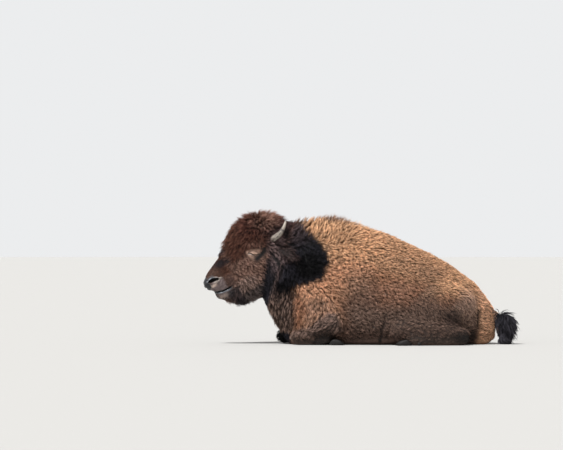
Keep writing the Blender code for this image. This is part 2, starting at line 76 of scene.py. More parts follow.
class Hue(Enum):
    """The colours of the coat and the bare skin, as linear red, green and blue."""

    HUMP = (0.780, 0.455, 0.262)
    WITHERS = (0.560, 0.325, 0.184)
    CREST = (0.120, 0.069, 0.055)
    # the back's pale hair, laid also as painted light on faces that look up
    BACK = (0.660, 0.372, 0.212)
    SIDE = (0.352, 0.160, 0.092)
    SHOULDER = (0.680, 0.368, 0.220)
    FLANK = (0.208, 0.133, 0.103)
    BELLY = (0.105, 0.062, 0.048)
    RUMP_DARK = (0.090, 0.060, 0.050)
    RUMP_REAR = (0.790, 0.455, 0.280)
    MANE = (0.020, 0.0185, 0.0235)
    # black hair deepened with painted shade: under the jaw, on the neck and between the breast's curls
    BLOT = (0.0025, 0.0022, 0.0028)
    LOCKS = (0.215, 0.150, 0.148)
    THROAT = (0.150, 0.098, 0.076)
    CROWN = (0.100, 0.042, 0.031)
    FOREHEAD = (0.106, 0.047, 0.033)
    BRIDGE = (0.095, 0.040, 0.026)
    CHEEK = (0.265, 0.150, 0.115)
    JAW = (0.145, 0.112, 0.104)
    MUZZLE = (0.086, 0.043, 0.029)
    UPPER_LIP = (0.235, 0.182, 0.178)
    WING = (0.430, 0.370, 0.330)
    LEATHER = (0.015, 0.0150, 0.0175)
    # painted highlight: the sky's shine on the wet nose pad and the lower lip
    WET = (0.420, 0.440, 0.480)
    LID = (0.360, 0.228, 0.168)
    # painted shade, near black: for grooves, hollows, creases, the nostrils' insides, the eyes' slits, the
    # skin behind the horns and the forelegs' folded front
    CREASE = (0.0040, 0.0035, 0.0040)
    EAR = (0.070, 0.048, 0.045)
    ARM = (0.560, 0.330, 0.225)
    FORELEG = (0.250, 0.164, 0.134)
    SHIN = (0.085, 0.056, 0.044)
    # painted shadow below the folded hind leg
    BLACK = (0.011, 0.0095, 0.009)
    SWITCH = (0.036, 0.034, 0.041)
    THIGH = (0.540, 0.355, 0.270)
    CHEEK_LOW = (0.330, 0.225, 0.190)
    TAN_LIP = (0.600, 0.470, 0.400)


def ramp(values: np.ndarray, start: float, end: float) -> np.ndarray:
    """A soft step from 0 at start to 1 at end.

    Args:
        values: The numbers to grade.
        start: Where the step begins; it may be the larger of the two.
        end: Where the step is complete.

    Returns:
        Numbers from 0 to 1.
    """
    t = np.clip((values - start) / (end - start), 0.0, 1.0)
    return t * t * (3 - 2 * t)


def bell(values: np.ndarray) -> np.ndarray:
    """A bump that is 1 at 0 and nearly gone at 2 to either side."""
    return np.exp(-(values**2))


def ball(points: np.ndarray, centre: tuple, radii: tuple, soft: float = 0.5) -> np.ndarray:
    """A mask that is 1 inside an ellipsoid and fades to 0 outside it.

    Args:
        points: Places, one row each.
        centre: The ellipsoid's middle.
        radii: Its half lengths.
        soft: How far the fade reaches either side of the surface, as a share of the radii.

    Returns:
        Numbers from 0 to 1.
    """
    reach = np.sqrt((((points - np.array(centre)) / np.array(radii)) ** 2).sum(1))
    return ramp(reach, 1 + soft, 1 - soft)


def inside(points: np.ndarray, corners: tuple) -> np.ndarray:
    """How far places lie inside a convex outline that is seen from the side.

    Args:
        points: Places, one row each.
        corners: The outline's corners as x and z, clockwise.

    Returns:
        Metres to the nearest edge, less than 0 outside.
    """
    flat, depth = points[:, [0, 2]], np.full(len(points), np.inf)
    for a, b in zip(np.array(corners), np.roll(np.array(corners), -1, axis=0)):
        ahead = (b - a) / np.linalg.norm(b - a)
        depth = np.minimum(depth, (flat - a) @ np.array([ahead[1], -ahead[0]]))
    return depth


def band(points: np.ndarray, width: float, *stops: tuple) -> np.ndarray:
    """A mask along a line of stops that is seen from the side.

    Args:
        points: Places, one row each.
        width: How far the band reaches to either side.
        stops: The line's corners as x and z.

    Returns:
        Numbers from 0 to 1.
    """
    flat, away = points[:, [0, 2]], np.full(len(points), np.inf)
    for a, b in zip(np.array(stops[:-1]), np.array(stops[1:])):
        share = np.clip(((flat - a) @ (b - a)) / ((b - a) @ (b - a)), 0, 1)
        away = np.minimum(away, np.linalg.norm(flat - a - share[:, None] * (b - a), axis=1))
    return ramp(away, width * 1.4, width * 0.4)


def ripple(points: np.ndarray, size: float) -> np.ndarray:
    """A gentle wandering of places, which keeps the edges of markings from running straight.

    Args:
        points: Places, one row each.
        size: How far they wander.

    Returns:
        The shift of each place.
    """
    ways = ((61, 23, 37), (-43, 31, 97), (139, -17, 71))
    a, b, c = (np.sin(points @ np.array(way) + k) for k, way in enumerate(ways))
    return size * np.stack([a + b * 0.5, np.zeros(len(points)), c * 0.6 + b * 0.5], 1)


def unit(vectors: np.ndarray) -> np.ndarray:
    """The rows of an array, each with length 1."""
    return vectors / np.maximum(np.linalg.norm(vectors, axis=1, keepdims=True), 1e-9)


@dataclass(frozen=True)
class HeadAxes:
    """The head's own axes: along it from the muzzle to the poll, across it, and up from it."""

    origin: tuple = (-0.860, 0.0, 0.340)
    pitch: float = math.radians(30)
    eye_place: tuple = (0.346, 0.110, 0.016)

    def axes(self) -> np.ndarray:
        """The three directions as the rows of a matrix."""
        c, s = math.cos(self.pitch), math.sin(self.pitch)
        return np.array([[c, 0, s], [0, 1, 0], [-s, 0, c]])

    def measure(self, points: np.ndarray) -> np.ndarray:
        """Places in the head's axes, for places in the room."""
        return (points - np.array(self.origin)) @ self.axes().T

    def place(self, along: float, across: float, up: float) -> Vector:
        """A place in the room, for one in the head's axes."""
        return Vector(np.array(self.origin) + np.array([along, across, up]) @ self.axes())

    def eye(self, side: float) -> Vector:
        """The middle of the eye of one side."""
        along, across, up = self.eye_place
        return self.place(along, across * side, up)


HEAD = HeadAxes()


def calc(operation: str, swapped: bool = False) -> Callable:
    """A method of Term that makes a Math node.

    Args:
        operation: The node's operation.
        swapped: Whether the other value comes first.

    Returns:
        The method.
    """

    def method(self: "Term", *others: "Term | float") -> "Term":
        """The outcome of the operation.

        Args:
            others: What is worked on besides the term.

        Returns:
            The outcome.
        """
        node = self.tree.nodes.nodes.new("ShaderNodeMath")
        node.operation = operation
        values = (self, *others)
        for socket, value in zip(node.inputs, values[::-1] if swapped else values):
            self.tree.feed(socket, value)
        return Term(self.tree, node.outputs[0])

    return method


class Term:
    """A socket of a node tree that takes part in Python expressions on values."""

    __add__ = __radd__ = calc("ADD")
    __mul__, __pow__ = calc("MULTIPLY"), calc("POWER")
    __sub__, __rsub__ = calc("SUBTRACT"), calc("SUBTRACT", swapped=True)
    __rtruediv__ = calc("DIVIDE", swapped=True)
    sine, at_least, at_most = calc("SINE"), calc("MAXIMUM"), calc("MINIMUM")

    def __init__(self, tree: "Tree", socket: bpy.types.NodeSocket) -> None:
        """Wraps a socket of a tree."""
        self.tree, self.socket = tree, socket

    def clamp(self) -> "Term":
        """The value kept between 0 and 1."""
        return self.at_least(0.0).at_most(1.0)


class Tree:
    """Makes the nodes and links of one tree, of a finish or of a geometry."""

    def __init__(self, nodes: bpy.types.NodeTree) -> None:
        """Starts from an empty tree."""
        self.nodes = nodes
        nodes.nodes.clear()

    def feed(self, socket: bpy.types.NodeSocket, value: object) -> None:
        """Links a term to a socket, or sets its value.

        Args:
            socket: The socket.
            value: The term or the value; None leaves the socket as it is.
        """
        if isinstance(value, Term):
            self.nodes.links.new(value.socket, socket)
        elif value is not None:
            socket.default_value = value

    def add(self, kind: str, inputs: dict | None = None, **settings: object) -> dict[str, Term]:
        """Adds a node.

        Args:
            kind: The node's type.
            inputs: A value or a term for each named or numbered input.
            settings: The node's properties, which are set first.

        Returns:
            Its shown outputs by name.
        """
        node = self.nodes.nodes.new(kind)
        for name, value in settings.items():
            setattr(node, name, value)
        for name, value in (inputs or {}).items():
            if isinstance(name, int):
                socket = node.inputs[name]
            else:
                socket = next(s for s in node.inputs if s.name == name and s.enabled)
            self.feed(socket, value)
        outputs = {}
        for socket in node.outputs:
            if socket.enabled:
                outputs.setdefault(socket.name, Term(self, socket))
        return outputs

    def first(self, kind: str, inputs: dict | None = None, **settings: object) -> Term:
        """Adds a node as add does, and gives its first output."""
        return next(iter(self.add(kind, inputs, **settings).values()))

    def attribute(self, name: str, output: str = "Fac") -> Term:
        """A value that the mesh carries under a name."""
        return self.add("ShaderNodeAttribute", attribute_name=name)[output]

    def place(self) -> Term:
        """The place that is shaded."""
        return self.add("ShaderNodeTexCoord")["Object"]

    def noise(self, place: Term, scale: float, detail: float, rough: float = 0.5) -> Term:
        """Noise with a mean of one half."""
        inputs = {"Vector": place, "Scale": scale, "Detail": detail, "Roughness": rough}
        return self.first("ShaderNodeTexNoise", inputs)

    def stretch(self, place: Term, scale: tuple) -> Term:
        """A place scaled along each axis."""
        return self.first("ShaderNodeMapping", {"Vector": place, "Scale": scale})

    def bump(self, height: Term, strength: float, distance: float) -> Term:
        """A normal that a height bends."""
        return self.first("ShaderNodeBump", {"Strength": strength, "Distance": distance, "Height": height})

    def join(self, x: object, y: object, z: object) -> Term:
        """A vector of three values."""
        return self.first("ShaderNodeCombineXYZ", {"X": x, "Y": y, "Z": z})

    def split(self, vector: Term) -> tuple[Term, ...]:
        """The three values of a vector."""
        return tuple(self.add("ShaderNodeSeparateXYZ", {"Vector": vector}).values())

    def vector(self, operation: str, first: object, second: object) -> Term:
        """The outcome of an operation on two vectors."""
        return self.first("ShaderNodeVectorMath", {0: first, 1: second}, operation=operation)

    def scale(self, vector: object, factor: object) -> Term:
        """A vector or a colour times a number."""
        return self.first("ShaderNodeVectorMath", {0: vector, 3: factor}, operation="SCALE")

    def blend(self, factor: "Term | float", first: object, second: object) -> Term:
        """A Mix node between two colours."""
        inputs = {0: factor, "A": first, "B": second}
        return self.add("ShaderNodeMix", inputs, data_type="RGBA", clamp_result=False)["Result"]


@dataclass(frozen=True)
class Finish:
    """A material made of nodes, one for each name. Its kinds say what goes into the surface."""

    name: str = "finish"

    def surface(self, tree: Tree) -> dict[str, object]:
        """A value or a term for each socket of the surface that has one."""
        raise NotImplementedError

    def make(self) -> bpy.types.Material:
        """Builds the material, unless it's there already.

        Returns:
            The material.
        """
        if self.name in bpy.data.materials:
            return bpy.data.materials[self.name]
        made = bpy.data.materials.new(self.name)
        made.use_nodes = True
        tree = Tree(made.node_tree)
        shader = tree.add("ShaderNodeBsdfPrincipled", self.surface(tree))["BSDF"]
        tree.add("ShaderNodeOutputMaterial", {"Surface": shader})
        return made


@dataclass(frozen=True)
class FloorFinish(Finish):
    """The studio's pale floor."""

    name: str = "pale_floor"
    colour: tuple = (0.44, 0.432, 0.415, 1)

    def surface(self, tree: Tree) -> dict[str, object]:
        """The floor's colour and roughness."""
        return {"Base Color": self.colour, "Roughness": 0.95}


@dataclass(frozen=True)
class HairFinish(Finish):
    """Hair that takes its colour from the markings, darker at the root and lighter at the tip. The darker
    roots are partly painted shade deep in the coat, and the darker locks at a clump's edge are painted shade
    in the partings.
    """

    name: str = "hair"
    root: float = 0.18  # brightness at the root, as a share; partly painted shade
    tip: float = 1.50  # and at the tip
    spread: float = 0.60  # how much locks differ
    parting: float = 1.30  # how much darker the locks at the edge of a clump are: painted shade in the partings
    rough: float = 0.72
    gloss: float = 0.18
    bleached: tuple = (0.62, 0.42, 0.27, 1)  # what the sun makes of the tips of pale hair

    def surface(self, tree: Tree) -> dict[str, object]:
        """The hair's sockets.

        Args:
            tree: The tree to build in.

        Returns:
            A value or a term for each socket.
        """
        marking = tree.attribute("marking", "Color")
        reach, tint, edge = (tree.attribute(name) for name in ("reach", "tint", "edge"))
        place = tree.place()
        drift = tree.noise(place, 9.0, 3.0, 0.6)
        fleck = tree.noise(place, 70.0, 2.0)
        # the roots are darker, partly as painted shade deep in the coat
        glow = (reach ** 0.8) * (self.tip - self.root) + self.root
        glow = glow * (tint * self.spread + (1 - self.spread / 2))
        glow = glow * (drift * 0.5 + 0.75) * (fleck * 1.1 + 0.45)
        # painted shade: locks at the edge of a clump are darkened as if in the parting's shade
        glow = glow * (1.0 + self.parting * 0.40 - edge * self.parting).at_least(0.2)
        colour = tree.scale(marking, glow)
        faded = tree.blend((reach * reach * tint * 0.22).clamp(), colour, self.bleached)
        red = tree.first("ShaderNodeSeparateColor", {"Color": marking})
        return {
            "Base Color": tree.blend(((red - 0.10) * 5.0).clamp(), colour, faded),
            "Roughness": (self.rough + 0.1) - reach * 0.12,
            "Specular IOR Level": self.gloss,
        }


WOOL = HairFinish()
DARK_WOOL = HairFinish("dark_wool", root=0.16, tip=1.62, spread=0.75, parting=1.20, gloss=0.10)


@dataclass(frozen=True)
class SkinFinish(Finish):
    """The skin with its short hair, and the bare leather of the nose, lips and lids; skin deep under its
    hair is darkened as painted shade.
    """

    name: str = "skin"

    def surface(self, tree: Tree) -> dict[str, object]:
        """The skin's sockets.

        Args:
            tree: The tree to build in.

        Returns:
            A value or a term for each socket.
        """
        marking = tree.attribute("marking", "Color")
        bare, wet, depth = (tree.attribute(name) for name in ("bare", "wet", "under"))
        place = tree.place()
        hair = tree.noise(place, 420.0, 4.0, 0.7)
        patch = tree.noise(place, 75.0, 3.0)
        inputs = {"Vector": place, "Scale": 330.0}
        pebble = tree.first("ShaderNodeTexVoronoi", inputs, feature="DISTANCE_TO_EDGE")
        crease = (pebble * 6.0).clamp()
        wrinkle = tree.noise(tree.stretch(place, (38.0, 38.0, 210.0)), 1.0, 2.0)
        # painted shade: the deeper the skin lies under its hair, the darker it is
        shade = (hair * 0.9 + 0.55) * (patch * 1.3 + 0.35) * (1 - depth * 0.78)
        leather = crease * 0.12 + patch * 0.3 + wrinkle * 1.1 + 0.20
        colour = tree.blend(bare, tree.scale(marking, shade), tree.scale(marking, leather))
        height = hair * (1 - bare) + (crease * 0.7 + wrinkle * 1.4) * bare
        return {
            "Base Color": colour,
            "Roughness": 0.78 - bare * 0.16 - wet * 0.44,
            "Specular IOR Level": 0.35,
            "Normal": tree.bump(height, 0.5, 0.0016),
        }


@dataclass(frozen=True)
class HornFinish(Finish):
    """Pale grey horn, stained and ringed below, with a dark collar under its clean tip, and painted shade on
    its rear and lower side.
    """

    name: str = "horn_keratin"
    pale: tuple = (0.345, 0.298, 0.252, 1)
    dark: tuple = (0.050, 0.041, 0.040, 1)
    collar: float = 0.735  # how far up the collar is

    def surface(self, tree: Tree) -> dict[str, object]:
        """The horn's sockets.

        Args:
            tree: The tree to build in.

        Returns:
            A value or a term for each socket.
        """
        reach = tree.attribute("reach")
        wrap = tree.attribute("wrap", "Vector")
        streak = tree.noise(wrap, 2.6, 5.0, 0.65)
        fine = tree.noise(tree.place(), 500.0, 2.0)
        wave = (reach * 62.0 + streak * 2.2).sine() * 0.5 + 0.5
        low = (1 - reach * 2.4).clamp()
        clean = ((reach - 0.72) * 8.0).clamp() * 0.8
        stained = ((streak - 0.445) * 7.5 + (fine - 0.5) * 2.0).clamp() * (1 - clean)
        gap = (reach - self.collar + (streak - 0.5) * 0.06) * 30.0
        # painted shade: the horn's rear and lower side is darkened
        shaded = ((tree.split(wrap)[0] - 0.30) * 1.4).clamp() * 0.45
        colour = tree.blend(stained * 0.85, self.pale, self.dark)
        colour = tree.blend((1 - gap * gap).clamp() * 0.85, colour, self.dark)
        colour = tree.scale(colour, (streak * 0.5 + 0.72) * (1 - wave * low * 0.45) * (1 - shaded))
        height = wave * (low * 0.9 + 0.1) + streak + fine * 0.25
        return {
            "Base Color": colour,
            "Roughness": 0.32 + low * 0.22 + fine * 0.1,
            "Normal": tree.bump(height, 0.55, 0.0012),
        }


@dataclass(frozen=True)
class HoofFinish(Finish):
    """Dark scuffed hoof with fine lines."""

    name: str = "hoof_keratin"
    dark: tuple = (0.010, 0.0085, 0.008, 1)
    worn: tuple = (0.028, 0.023, 0.019, 1)

    def surface(self, tree: Tree) -> dict[str, object]:
        """The hoof's sockets.

        Args:
            tree: The tree to build in.

        Returns:
            A value or a term for each socket.
        """
        place = tree.place()
        lines = tree.noise(tree.stretch(place, (40.0, 260.0, 420.0)), 1.0, 3.0)
        worn = ((tree.noise(place, 90.0, 5.0) - 0.5) * 4.0).clamp()
        colour = tree.blend(worn * 0.5, self.dark, self.worn)
        return {
            "Base Color": tree.scale(colour, lines * 0.6 + 0.7),
            "Roughness": 0.58 + worn * 0.3,
            "Specular IOR Level": 0.2,
            "Normal": tree.bump(lines, 0.4, 0.0008),
        }


@dataclass(frozen=True)
class EyeFinish(Finish):
    """A dark moist eye."""

    name: str = "eye_moist"
    dark: tuple = (0.010, 0.006, 0.005, 1)
    brown: tuple = (0.035, 0.020, 0.013, 1)

    def surface(self, tree: Tree) -> dict[str, object]:
        """The eye's sockets.

        Args:
            tree: The tree to build in.

        Returns:
            A value or a term for each socket.
        """
        cloud = tree.noise(tree.place(), 120.0, 3.0)
        colour = tree.blend(cloud, self.dark, self.brown)
        return {"Base Color": colour, "Roughness": 0.08 + cloud * 0.05, "Coat Weight": 0.6}


class Net:
    """The points of a mesh and their neighbours, for smoothing what they carry."""

    def __init__(self, mesh: bpy.types.Mesh) -> None:
        """Reads a mesh's points and edges.

        Args:
            mesh: The mesh.
        """
        self.points = read(mesh.vertices, "co", 3, float)
        edges = read(mesh.edges, "vertices", 2, np.int64)
        self.start = np.concatenate([edges[:, 0], edges[:, 1]])
        self.end = np.concatenate([edges[:, 1], edges[:, 0]])
        self.valence = np.maximum(np.bincount(self.start, minlength=len(self.points)), 1)

    def mean(self, values: np.ndarray) -> np.ndarray:
        """Averages over the neighbours of each point.

        Args:
            values: A number or a vector for each point.

        Returns:
            The mean of its neighbours, for each point.
        """
        flat, count = values.reshape(len(self.valence), -1), len(self.valence)
        sums = [np.bincount(self.start, weights=column[self.end], minlength=count) for column in flat.T]
        return np.stack([total / self.valence for total in sums], 1).reshape(values.shape)

    def soften(self, values: np.ndarray, rounds: int, share: float | np.ndarray = 0.5) -> np.ndarray:
        """Spreads values over neighbours.

        Args:
            values: A number or a vector for each point.
            rounds: How often.
            share: How far each round goes to the neighbours' mean.

        Returns:
            The spread values.
        """
        for _ in range(rounds):
            values = values + (self.mean(values) - values) * share
        return values

    def fair(self, values: np.ndarray, rounds: int) -> np.ndarray:
        """Smooths without shrinking: each round softens and then puffs out a little more.

        Args:
            values: A number or a vector for each point.
            rounds: How often.

        Returns:
            The smooth values.
        """
        for _ in range(rounds):
            values = self.soften(self.soften(values, 1, 0.6), 1, -0.62)
        return values


def read(items: bpy.types.bpy_prop_collection, name: str, width: int, kind: type) -> np.ndarray:
    """Reads one property of all the items of a collection.

    Args:
        items: The collection.
        name: The property.
        width: How many numbers it has.
        kind: The kind of number.

    Returns:
        The numbers, one row an item.
    """
    data = np.empty(len(items) * width, kind)
    items.foreach_get(name, data)
    return data.reshape(-1, width)


def recall(mesh: bpy.types.Mesh, name: str) -> np.ndarray:
    """Reads what a mesh's points carry.

    Args:
        mesh: The mesh.
        name: The name that it's carried under.

    Returns:
        A number or a vector for each point.
    """
    layer = mesh.attributes[name]
    if layer.data_type == "FLOAT":
        return read(layer.data, "value", 1, np.float32)[:, 0].astype(float)
    return read(layer.data, "vector", 3, np.float32).astype(float)


def store(mesh: bpy.types.Mesh, name: str, values: np.ndarray) -> None:
    """Lets a mesh's points carry something under a name.

    Args:
        mesh: The mesh.
        name: The name, which may be in use already.
        values: A number, a vector or a colour with its alpha for each point.
    """
    kinds = {1: ("FLOAT", "value"), 3: ("FLOAT_VECTOR", "vector"), 4: ("FLOAT_COLOR", "color")}
    kind, part = kinds[values.size // len(values)]
    layer = mesh.attributes.get(name) or mesh.attributes.new(name, kind, "POINT")
    layer.data.foreach_set(part, values.astype(np.float32).ravel())


def read_normals(mesh: bpy.types.Mesh) -> np.ndarray:
    """The normals at a mesh's points."""
    return read(mesh.vertex_normals, "vector", 3, np.float32).astype(float)


def write_points(mesh: bpy.types.Mesh, points: np.ndarray) -> None:
    """Moves a mesh's points."""
    mesh.vertices.foreach_set("co", np.ascontiguousarray(points, np.float32).ravel())
    mesh.update()


def build_mesh(bm: bmesh.types.BMesh, name: str, smooth: bool = True) -> bpy.types.Mesh:
    """Makes a mesh of what has been built, which is freed.

    Args:
        bm: What has been built.
        name: The mesh's name.
        smooth: Whether it's shaded smooth.

    Returns:
        The mesh.
    """
    mesh = bpy.data.meshes.new(name)
    bm.to_mesh(mesh)
    bm.free()
    if smooth:
        mesh.shade_smooth()
    return mesh


def close_rings(bm: bmesh.types.BMesh, rings: list, tip: bmesh.types.BMVert) -> None:
    """Joins rings of points into one closed spike.

    Args:
        bm: What is being built.
        rings: The rings from the foot up, each with as many points.
        tip: The point that closes the last ring.
    """
    count = len(rings[0])
    turns = [(k, (k + 1) % count) for k in range(count)]
    for low, high in zip(rings, rings[1:]):
        for k, j in turns:
            bm.faces.new((low[k], low[j], high[j], high[k]))
    for k, j in turns:
        bm.faces.new((rings[-1][k], rings[-1][j], tip))
    bm.faces.new(rings[0][::-1])
    bmesh.ops.recalc_face_normals(bm, faces=bm.faces)


def new_object(name: str, mesh: bpy.types.ID) -> bpy.types.Object:
    """Adds an object to the scene.

    Args:
        name: Its name.
        mesh: Its mesh, lamp or camera.

    Returns:
        The object.
    """
    obj = bpy.data.objects.new(name, mesh)
    bpy.context.scene.collection.objects.link(obj)
    return obj


def settle(obj: bpy.types.Object) -> None:
    """Gives an object the plain mesh that its modifiers make, and removes them.

    Args:
        obj: The object.
    """
    graph = bpy.context.evaluated_depsgraph_get()
    made, old = bpy.data.meshes.new_from_object(obj.evaluated_get(graph)), obj.data
    obj.modifiers.clear()
    obj.data = made
    if not old.users:
        bpy.data.meshes.remove(old)


def attach(obj: bpy.types.Object, slot: str, *nodes: str) -> None:
    """Fixes a finished piece to the model.

    Args:
        obj: The piece.
        slot: Not used.
        nodes: The solids that it stands for, if any.
    """
    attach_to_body(obj, "root")
    if nodes:
        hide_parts(*nodes)
    log.info("%s: %d faces", obj.name, len(obj.data.polygons))


class Dressed:
    """What is built and dressed by itself. Its kinds say which finish and which slot they take."""

    finish: Finish
    slot: str

    def dress(self, obj: bpy.types.Object, *nodes: str) -> None:
        """Gives a built piece its finish and fixes it to the model.

        Args:
            obj: The piece.
            nodes: The solids that it stands for, if any.
        """
        obj.data.materials.clear()
        obj.data.materials.append(self.finish.make())
        attach(obj, self.slot, *nodes)


@dataclass(frozen=True)
class Pelt:
    """What the hair of one zone is like.

    length and width are a lock's, in metres; lift is the angle at which it leaves the skin, in degrees.
    """

    length: float
    lift: float
    width: float


class Zone(Enum):
    """The kinds of hair."""

    WOOL = Pelt(0.034, 29, 0.0022)
    LOIN = Pelt(0.030, 27, 0.0022)
    FLANK = Pelt(0.025, 22, 0.0020)
    HUMP = Pelt(0.044, 54, 0.0022)
    CREST = Pelt(0.054, 60, 0.0021)
    SHOULDER = Pelt(0.042, 35, 0.0023)
    BREAST = Pelt(0.044, 32, 0.0026)
    UPPER_LEG = Pelt(0.038, 27, 0.0023)
    MANE = Pelt(0.058, 34, 0.0026)
    NAPE = Pelt(0.060, 56, 0.0023)
    HORN_BASE = Pelt(0.046, 50, 0.0022)
    CROWN = Pelt(0.052, 60, 0.0022)
    FOREHEAD = Pelt(0.040, 46, 0.0021)
    CHEEK = Pelt(0.028, 34, 0.0019)
    BEARD = Pelt(0.044, 17, 0.0022)
    BRIDGE = Pelt(0.014, 18, 0.0013)
    MUZZLE = Pelt(0.0080, 16, 0.0010)
    FORELOCK = Pelt(0.036, 42, 0.0020)
    SOCKET = Pelt(0.015, 22, 0.0013)
    LIDS = Pelt(0.0045, 12, 0.0008)
    FOREARM = Pelt(0.030, 24, 0.0021)
    SHIN = Pelt(0.018, 18, 0.0017)
    EAR = Pelt(0.030, 22, 0.0020)
    TAIL = Pelt(0.022, 15, 0.0020)
    SWITCH = Pelt(0.085, 12, 0.0022)
    PRESSED = Pelt(0.010, 5, 0.0026)
    LASHES = Pelt(0.015, 30, 0.0009)


class Patch(Enum):
    """The pieces that the coat is made in."""

    CROWN = 1
    CHEEKS = 2
    FACE = 3
    MANE = 4
    HUMP = 5
    SIDE_LEFT = 6
    SIDE_RIGHT = 7
    RUMP_LEFT = 8
    RUMP_RIGHT = 9
    FORELEGS = 10
    HIND_LEGS = 11
    TAIL = 12
    LASHES = 13


class Chart:
    """The places of the skin, measured in the room and along the head."""

    def __init__(self, points: np.ndarray) -> None:
        """Measures places.

        Args:
            points: The places, one row each.
        """
        self.points = points
        self.x, self.y, self.z = points.T
        self.s, _, self.d = HEAD.measure(points).T  # along the head, and up from it
        self.profile = np.column_stack([self.s, np.zeros(len(points)), self.d])
        self.wavy = points + ripple(points, 0.008)

    def spot(self, x: float, z: float, long: float, high: float, soft: float = 0.5) -> np.ndarray:
        """A spot with a wandering edge, seen from the side, that goes right through the animal."""
        return ball(self.wavy, (x, 0.0, z), (long, 0.9, high), soft)

    def head_spot(self, s: float, d: float, long: float, high: float, soft: float = 0.5) -> np.ndarray:
        """A spot in the head's axes that goes right through the head."""
        return ball(self.profile, (s, 0.0, d), (long, 1.0, high), soft)


# Markings in the order of painting: a colour, and its weight at each place.
Marks = list[tuple[Hue, np.ndarray]]


@dataclass
class Skin(Dressed):
    """The one skin over all the flesh, and all that the coat needs to know at each place of it.

    Outlines, grooves and shades are given as x and z, as they're seen from the side.
    """

    nodes: dict
    finish: Finish = SkinFinish()
    slot: str = "hair_brown"
    voxel: float = 0.009
    overlap: float = 0.0006  # of neighbouring solids, so that they join
    fairing: int = 26
    sunk: float = 0.85  # how deep the skin lies, as a share of how far the locks' tips rise
    horn_root: tuple = (-0.452, 0.122, 0.612)
    horn_plug: tuple = (0.025, 0.045, 0.025)
    lid_outline: tuple = (
        (-0.617, 0.540), (-0.602, 0.554), (-0.536, 0.558), (-0.526, 0.546), (-0.552, 0.500),
        (-0.566, 0.491), (-0.594, 0.510),
    )
    mane_outline: tuple = (
        (-0.470, 0.840), (-0.172, 0.592), (-0.145, 0.545), (-0.142, 0.500), (-0.153, 0.445),
        (-0.175, 0.393), (-0.234, 0.374), (-0.360, 0.345), (-0.700, 0.345), (-0.700, 0.840),
    )
    # The elbow's hollow and the grooves below are sunk into the skin and also painted dark as shade.
    elbow_hollow: tuple = (
        (-0.222, 0.002), (-0.212, 0.061), (-0.148, 0.106), (-0.086, 0.116), (-0.100, 0.002),
    )
    socket_groove: tuple = ((-0.506, 0.563), (-0.506, 0.545), (-0.526, 0.523), (-0.549, 0.502))
    arm_groove: tuple = ((-0.350, 0.300), (-0.347, 0.250), (-0.343, 0.180), (-0.338, 0.115))
    brow_shade: tuple = ((-0.558, 0.566), (-0.515, 0.572))
    cheek_groove: tuple = ((-0.470, 0.545), (-0.440, 0.500), (-0.405, 0.420))
    flank_groove: tuple = ((0.190, 0.140), (0.167, 0.085), (0.172, 0.020))
    rump_groove: tuple = ((0.748, 0.205), (0.742, 0.150), (0.742, 0.095))
    # The height of the lids' edge over the eye's middle, from the front to the rear.
    lid_line: tuple = (
        (-0.036, 0.0070), (-0.026, 0.0085), (-0.012, 0.0060), (0.003, -0.0020), (0.018, -0.0030),
        (0.036, 0.0030),
    )
    # The height of the mouth's line along the head, in the head's axes.
    mouth_stops: tuple = (
        (0.010, -0.020), (0.024, -0.042), (0.040, -0.064), (0.080, -0.079), (0.117, -0.083),
        (0.147, -0.080),
    )
    lid_tilt: float = math.radians(11)
    lid_gap: float = 0.0035  # between the eye and the outside of its lids
    fine_muzzle: tuple = (0.150, -0.125)  # how far back and down the head its faces are divided
    fine_lids: float = 0.058  # and how far from an eye
    groove_depth: float = 0.006  # how much deeper the skin lies in grooves and hollows
    shaded_depth: float = 0.006  # how deep the skin lies where its hair leaves it in the dark
    floor: float = 0.002  # the lowest skin
    # What is worked out for the places of the skin.
    chart: Chart | None = None
    masks: dict[str, np.ndarray] = field(default_factory=dict)  # the parts of the body
    layers: dict[Zone, np.ndarray] = field(default_factory=dict)  # the kinds of hair, as they're laid
    hair: dict[str, np.ndarray] = field(default_factory=dict)  # what it's like and which way it lies
    forms: dict[str, np.ndarray] = field(default_factory=dict)  # the small forms of the face

    def flesh_names(self) -> list[str]:
        """The solids that the skin stands for."""
        return sorted(n for n in self.nodes if not any(w in n for w in ("eye_", "horn_", "claw")))

    def build(self) -> bpy.types.Object:
        """Makes the skin, with its face, its markings and its unwrap.

        Returns:
            The skin.
        """
        shell = self.shell()
        net = Net(shell.data)
        net.points = net.fair(net.points, self.fairing)
        write_points(shell.data, net.points)
        self.survey(net, shell.data)
        self.sink(net, shell.data)
        self.refine(shell)
        self.carve(shell.data)
        self.mark(shell.data)
        self.unwrap(shell)
        shell.data.shade_smooth()
        return shell

    def shell(self) -> bpy.types.Object:
        """Joins all the flesh into one closed surface.

        Returns:
            The surface.
        """
        whole = bmesh.new()
        for name in self.flesh_names():
            part = bmesh.new()
            part.from_mesh(self.nodes[name].data)
            bmesh.ops.remove_doubles(part, verts=part.verts, dist=MERGE)
            part.normal_update()
            for vert in part.verts:
                vert.co += vert.normal * self.overlap
            made = build_mesh(part, "part", smooth=False)
            whole.from_mesh(made)
            bpy.data.meshes.remove(made)
        for side in (LEFT, RIGHT):
            root = Vector((self.horn_root[0], self.horn_root[1] * side, self.horn_root[2]))
            for centre, radii in ((HEAD.eye(side), (EYE_RADIUS + 0.001,) * 3), (root, self.horn_plug)):
                size = Matrix.Translation(centre) @ Matrix.Diagonal((*radii, 1))
                bmesh.ops.create_icosphere(whole, subdivisions=3, radius=1.0, matrix=size)
        shell = new_object("skin", build_mesh(whole, "skin", smooth=False))
        remesh = shell.modifiers.new("join", "REMESH")
        remesh.mode = "VOXEL"
        remesh.voxel_size = self.voxel
        settle(shell)
        return shell

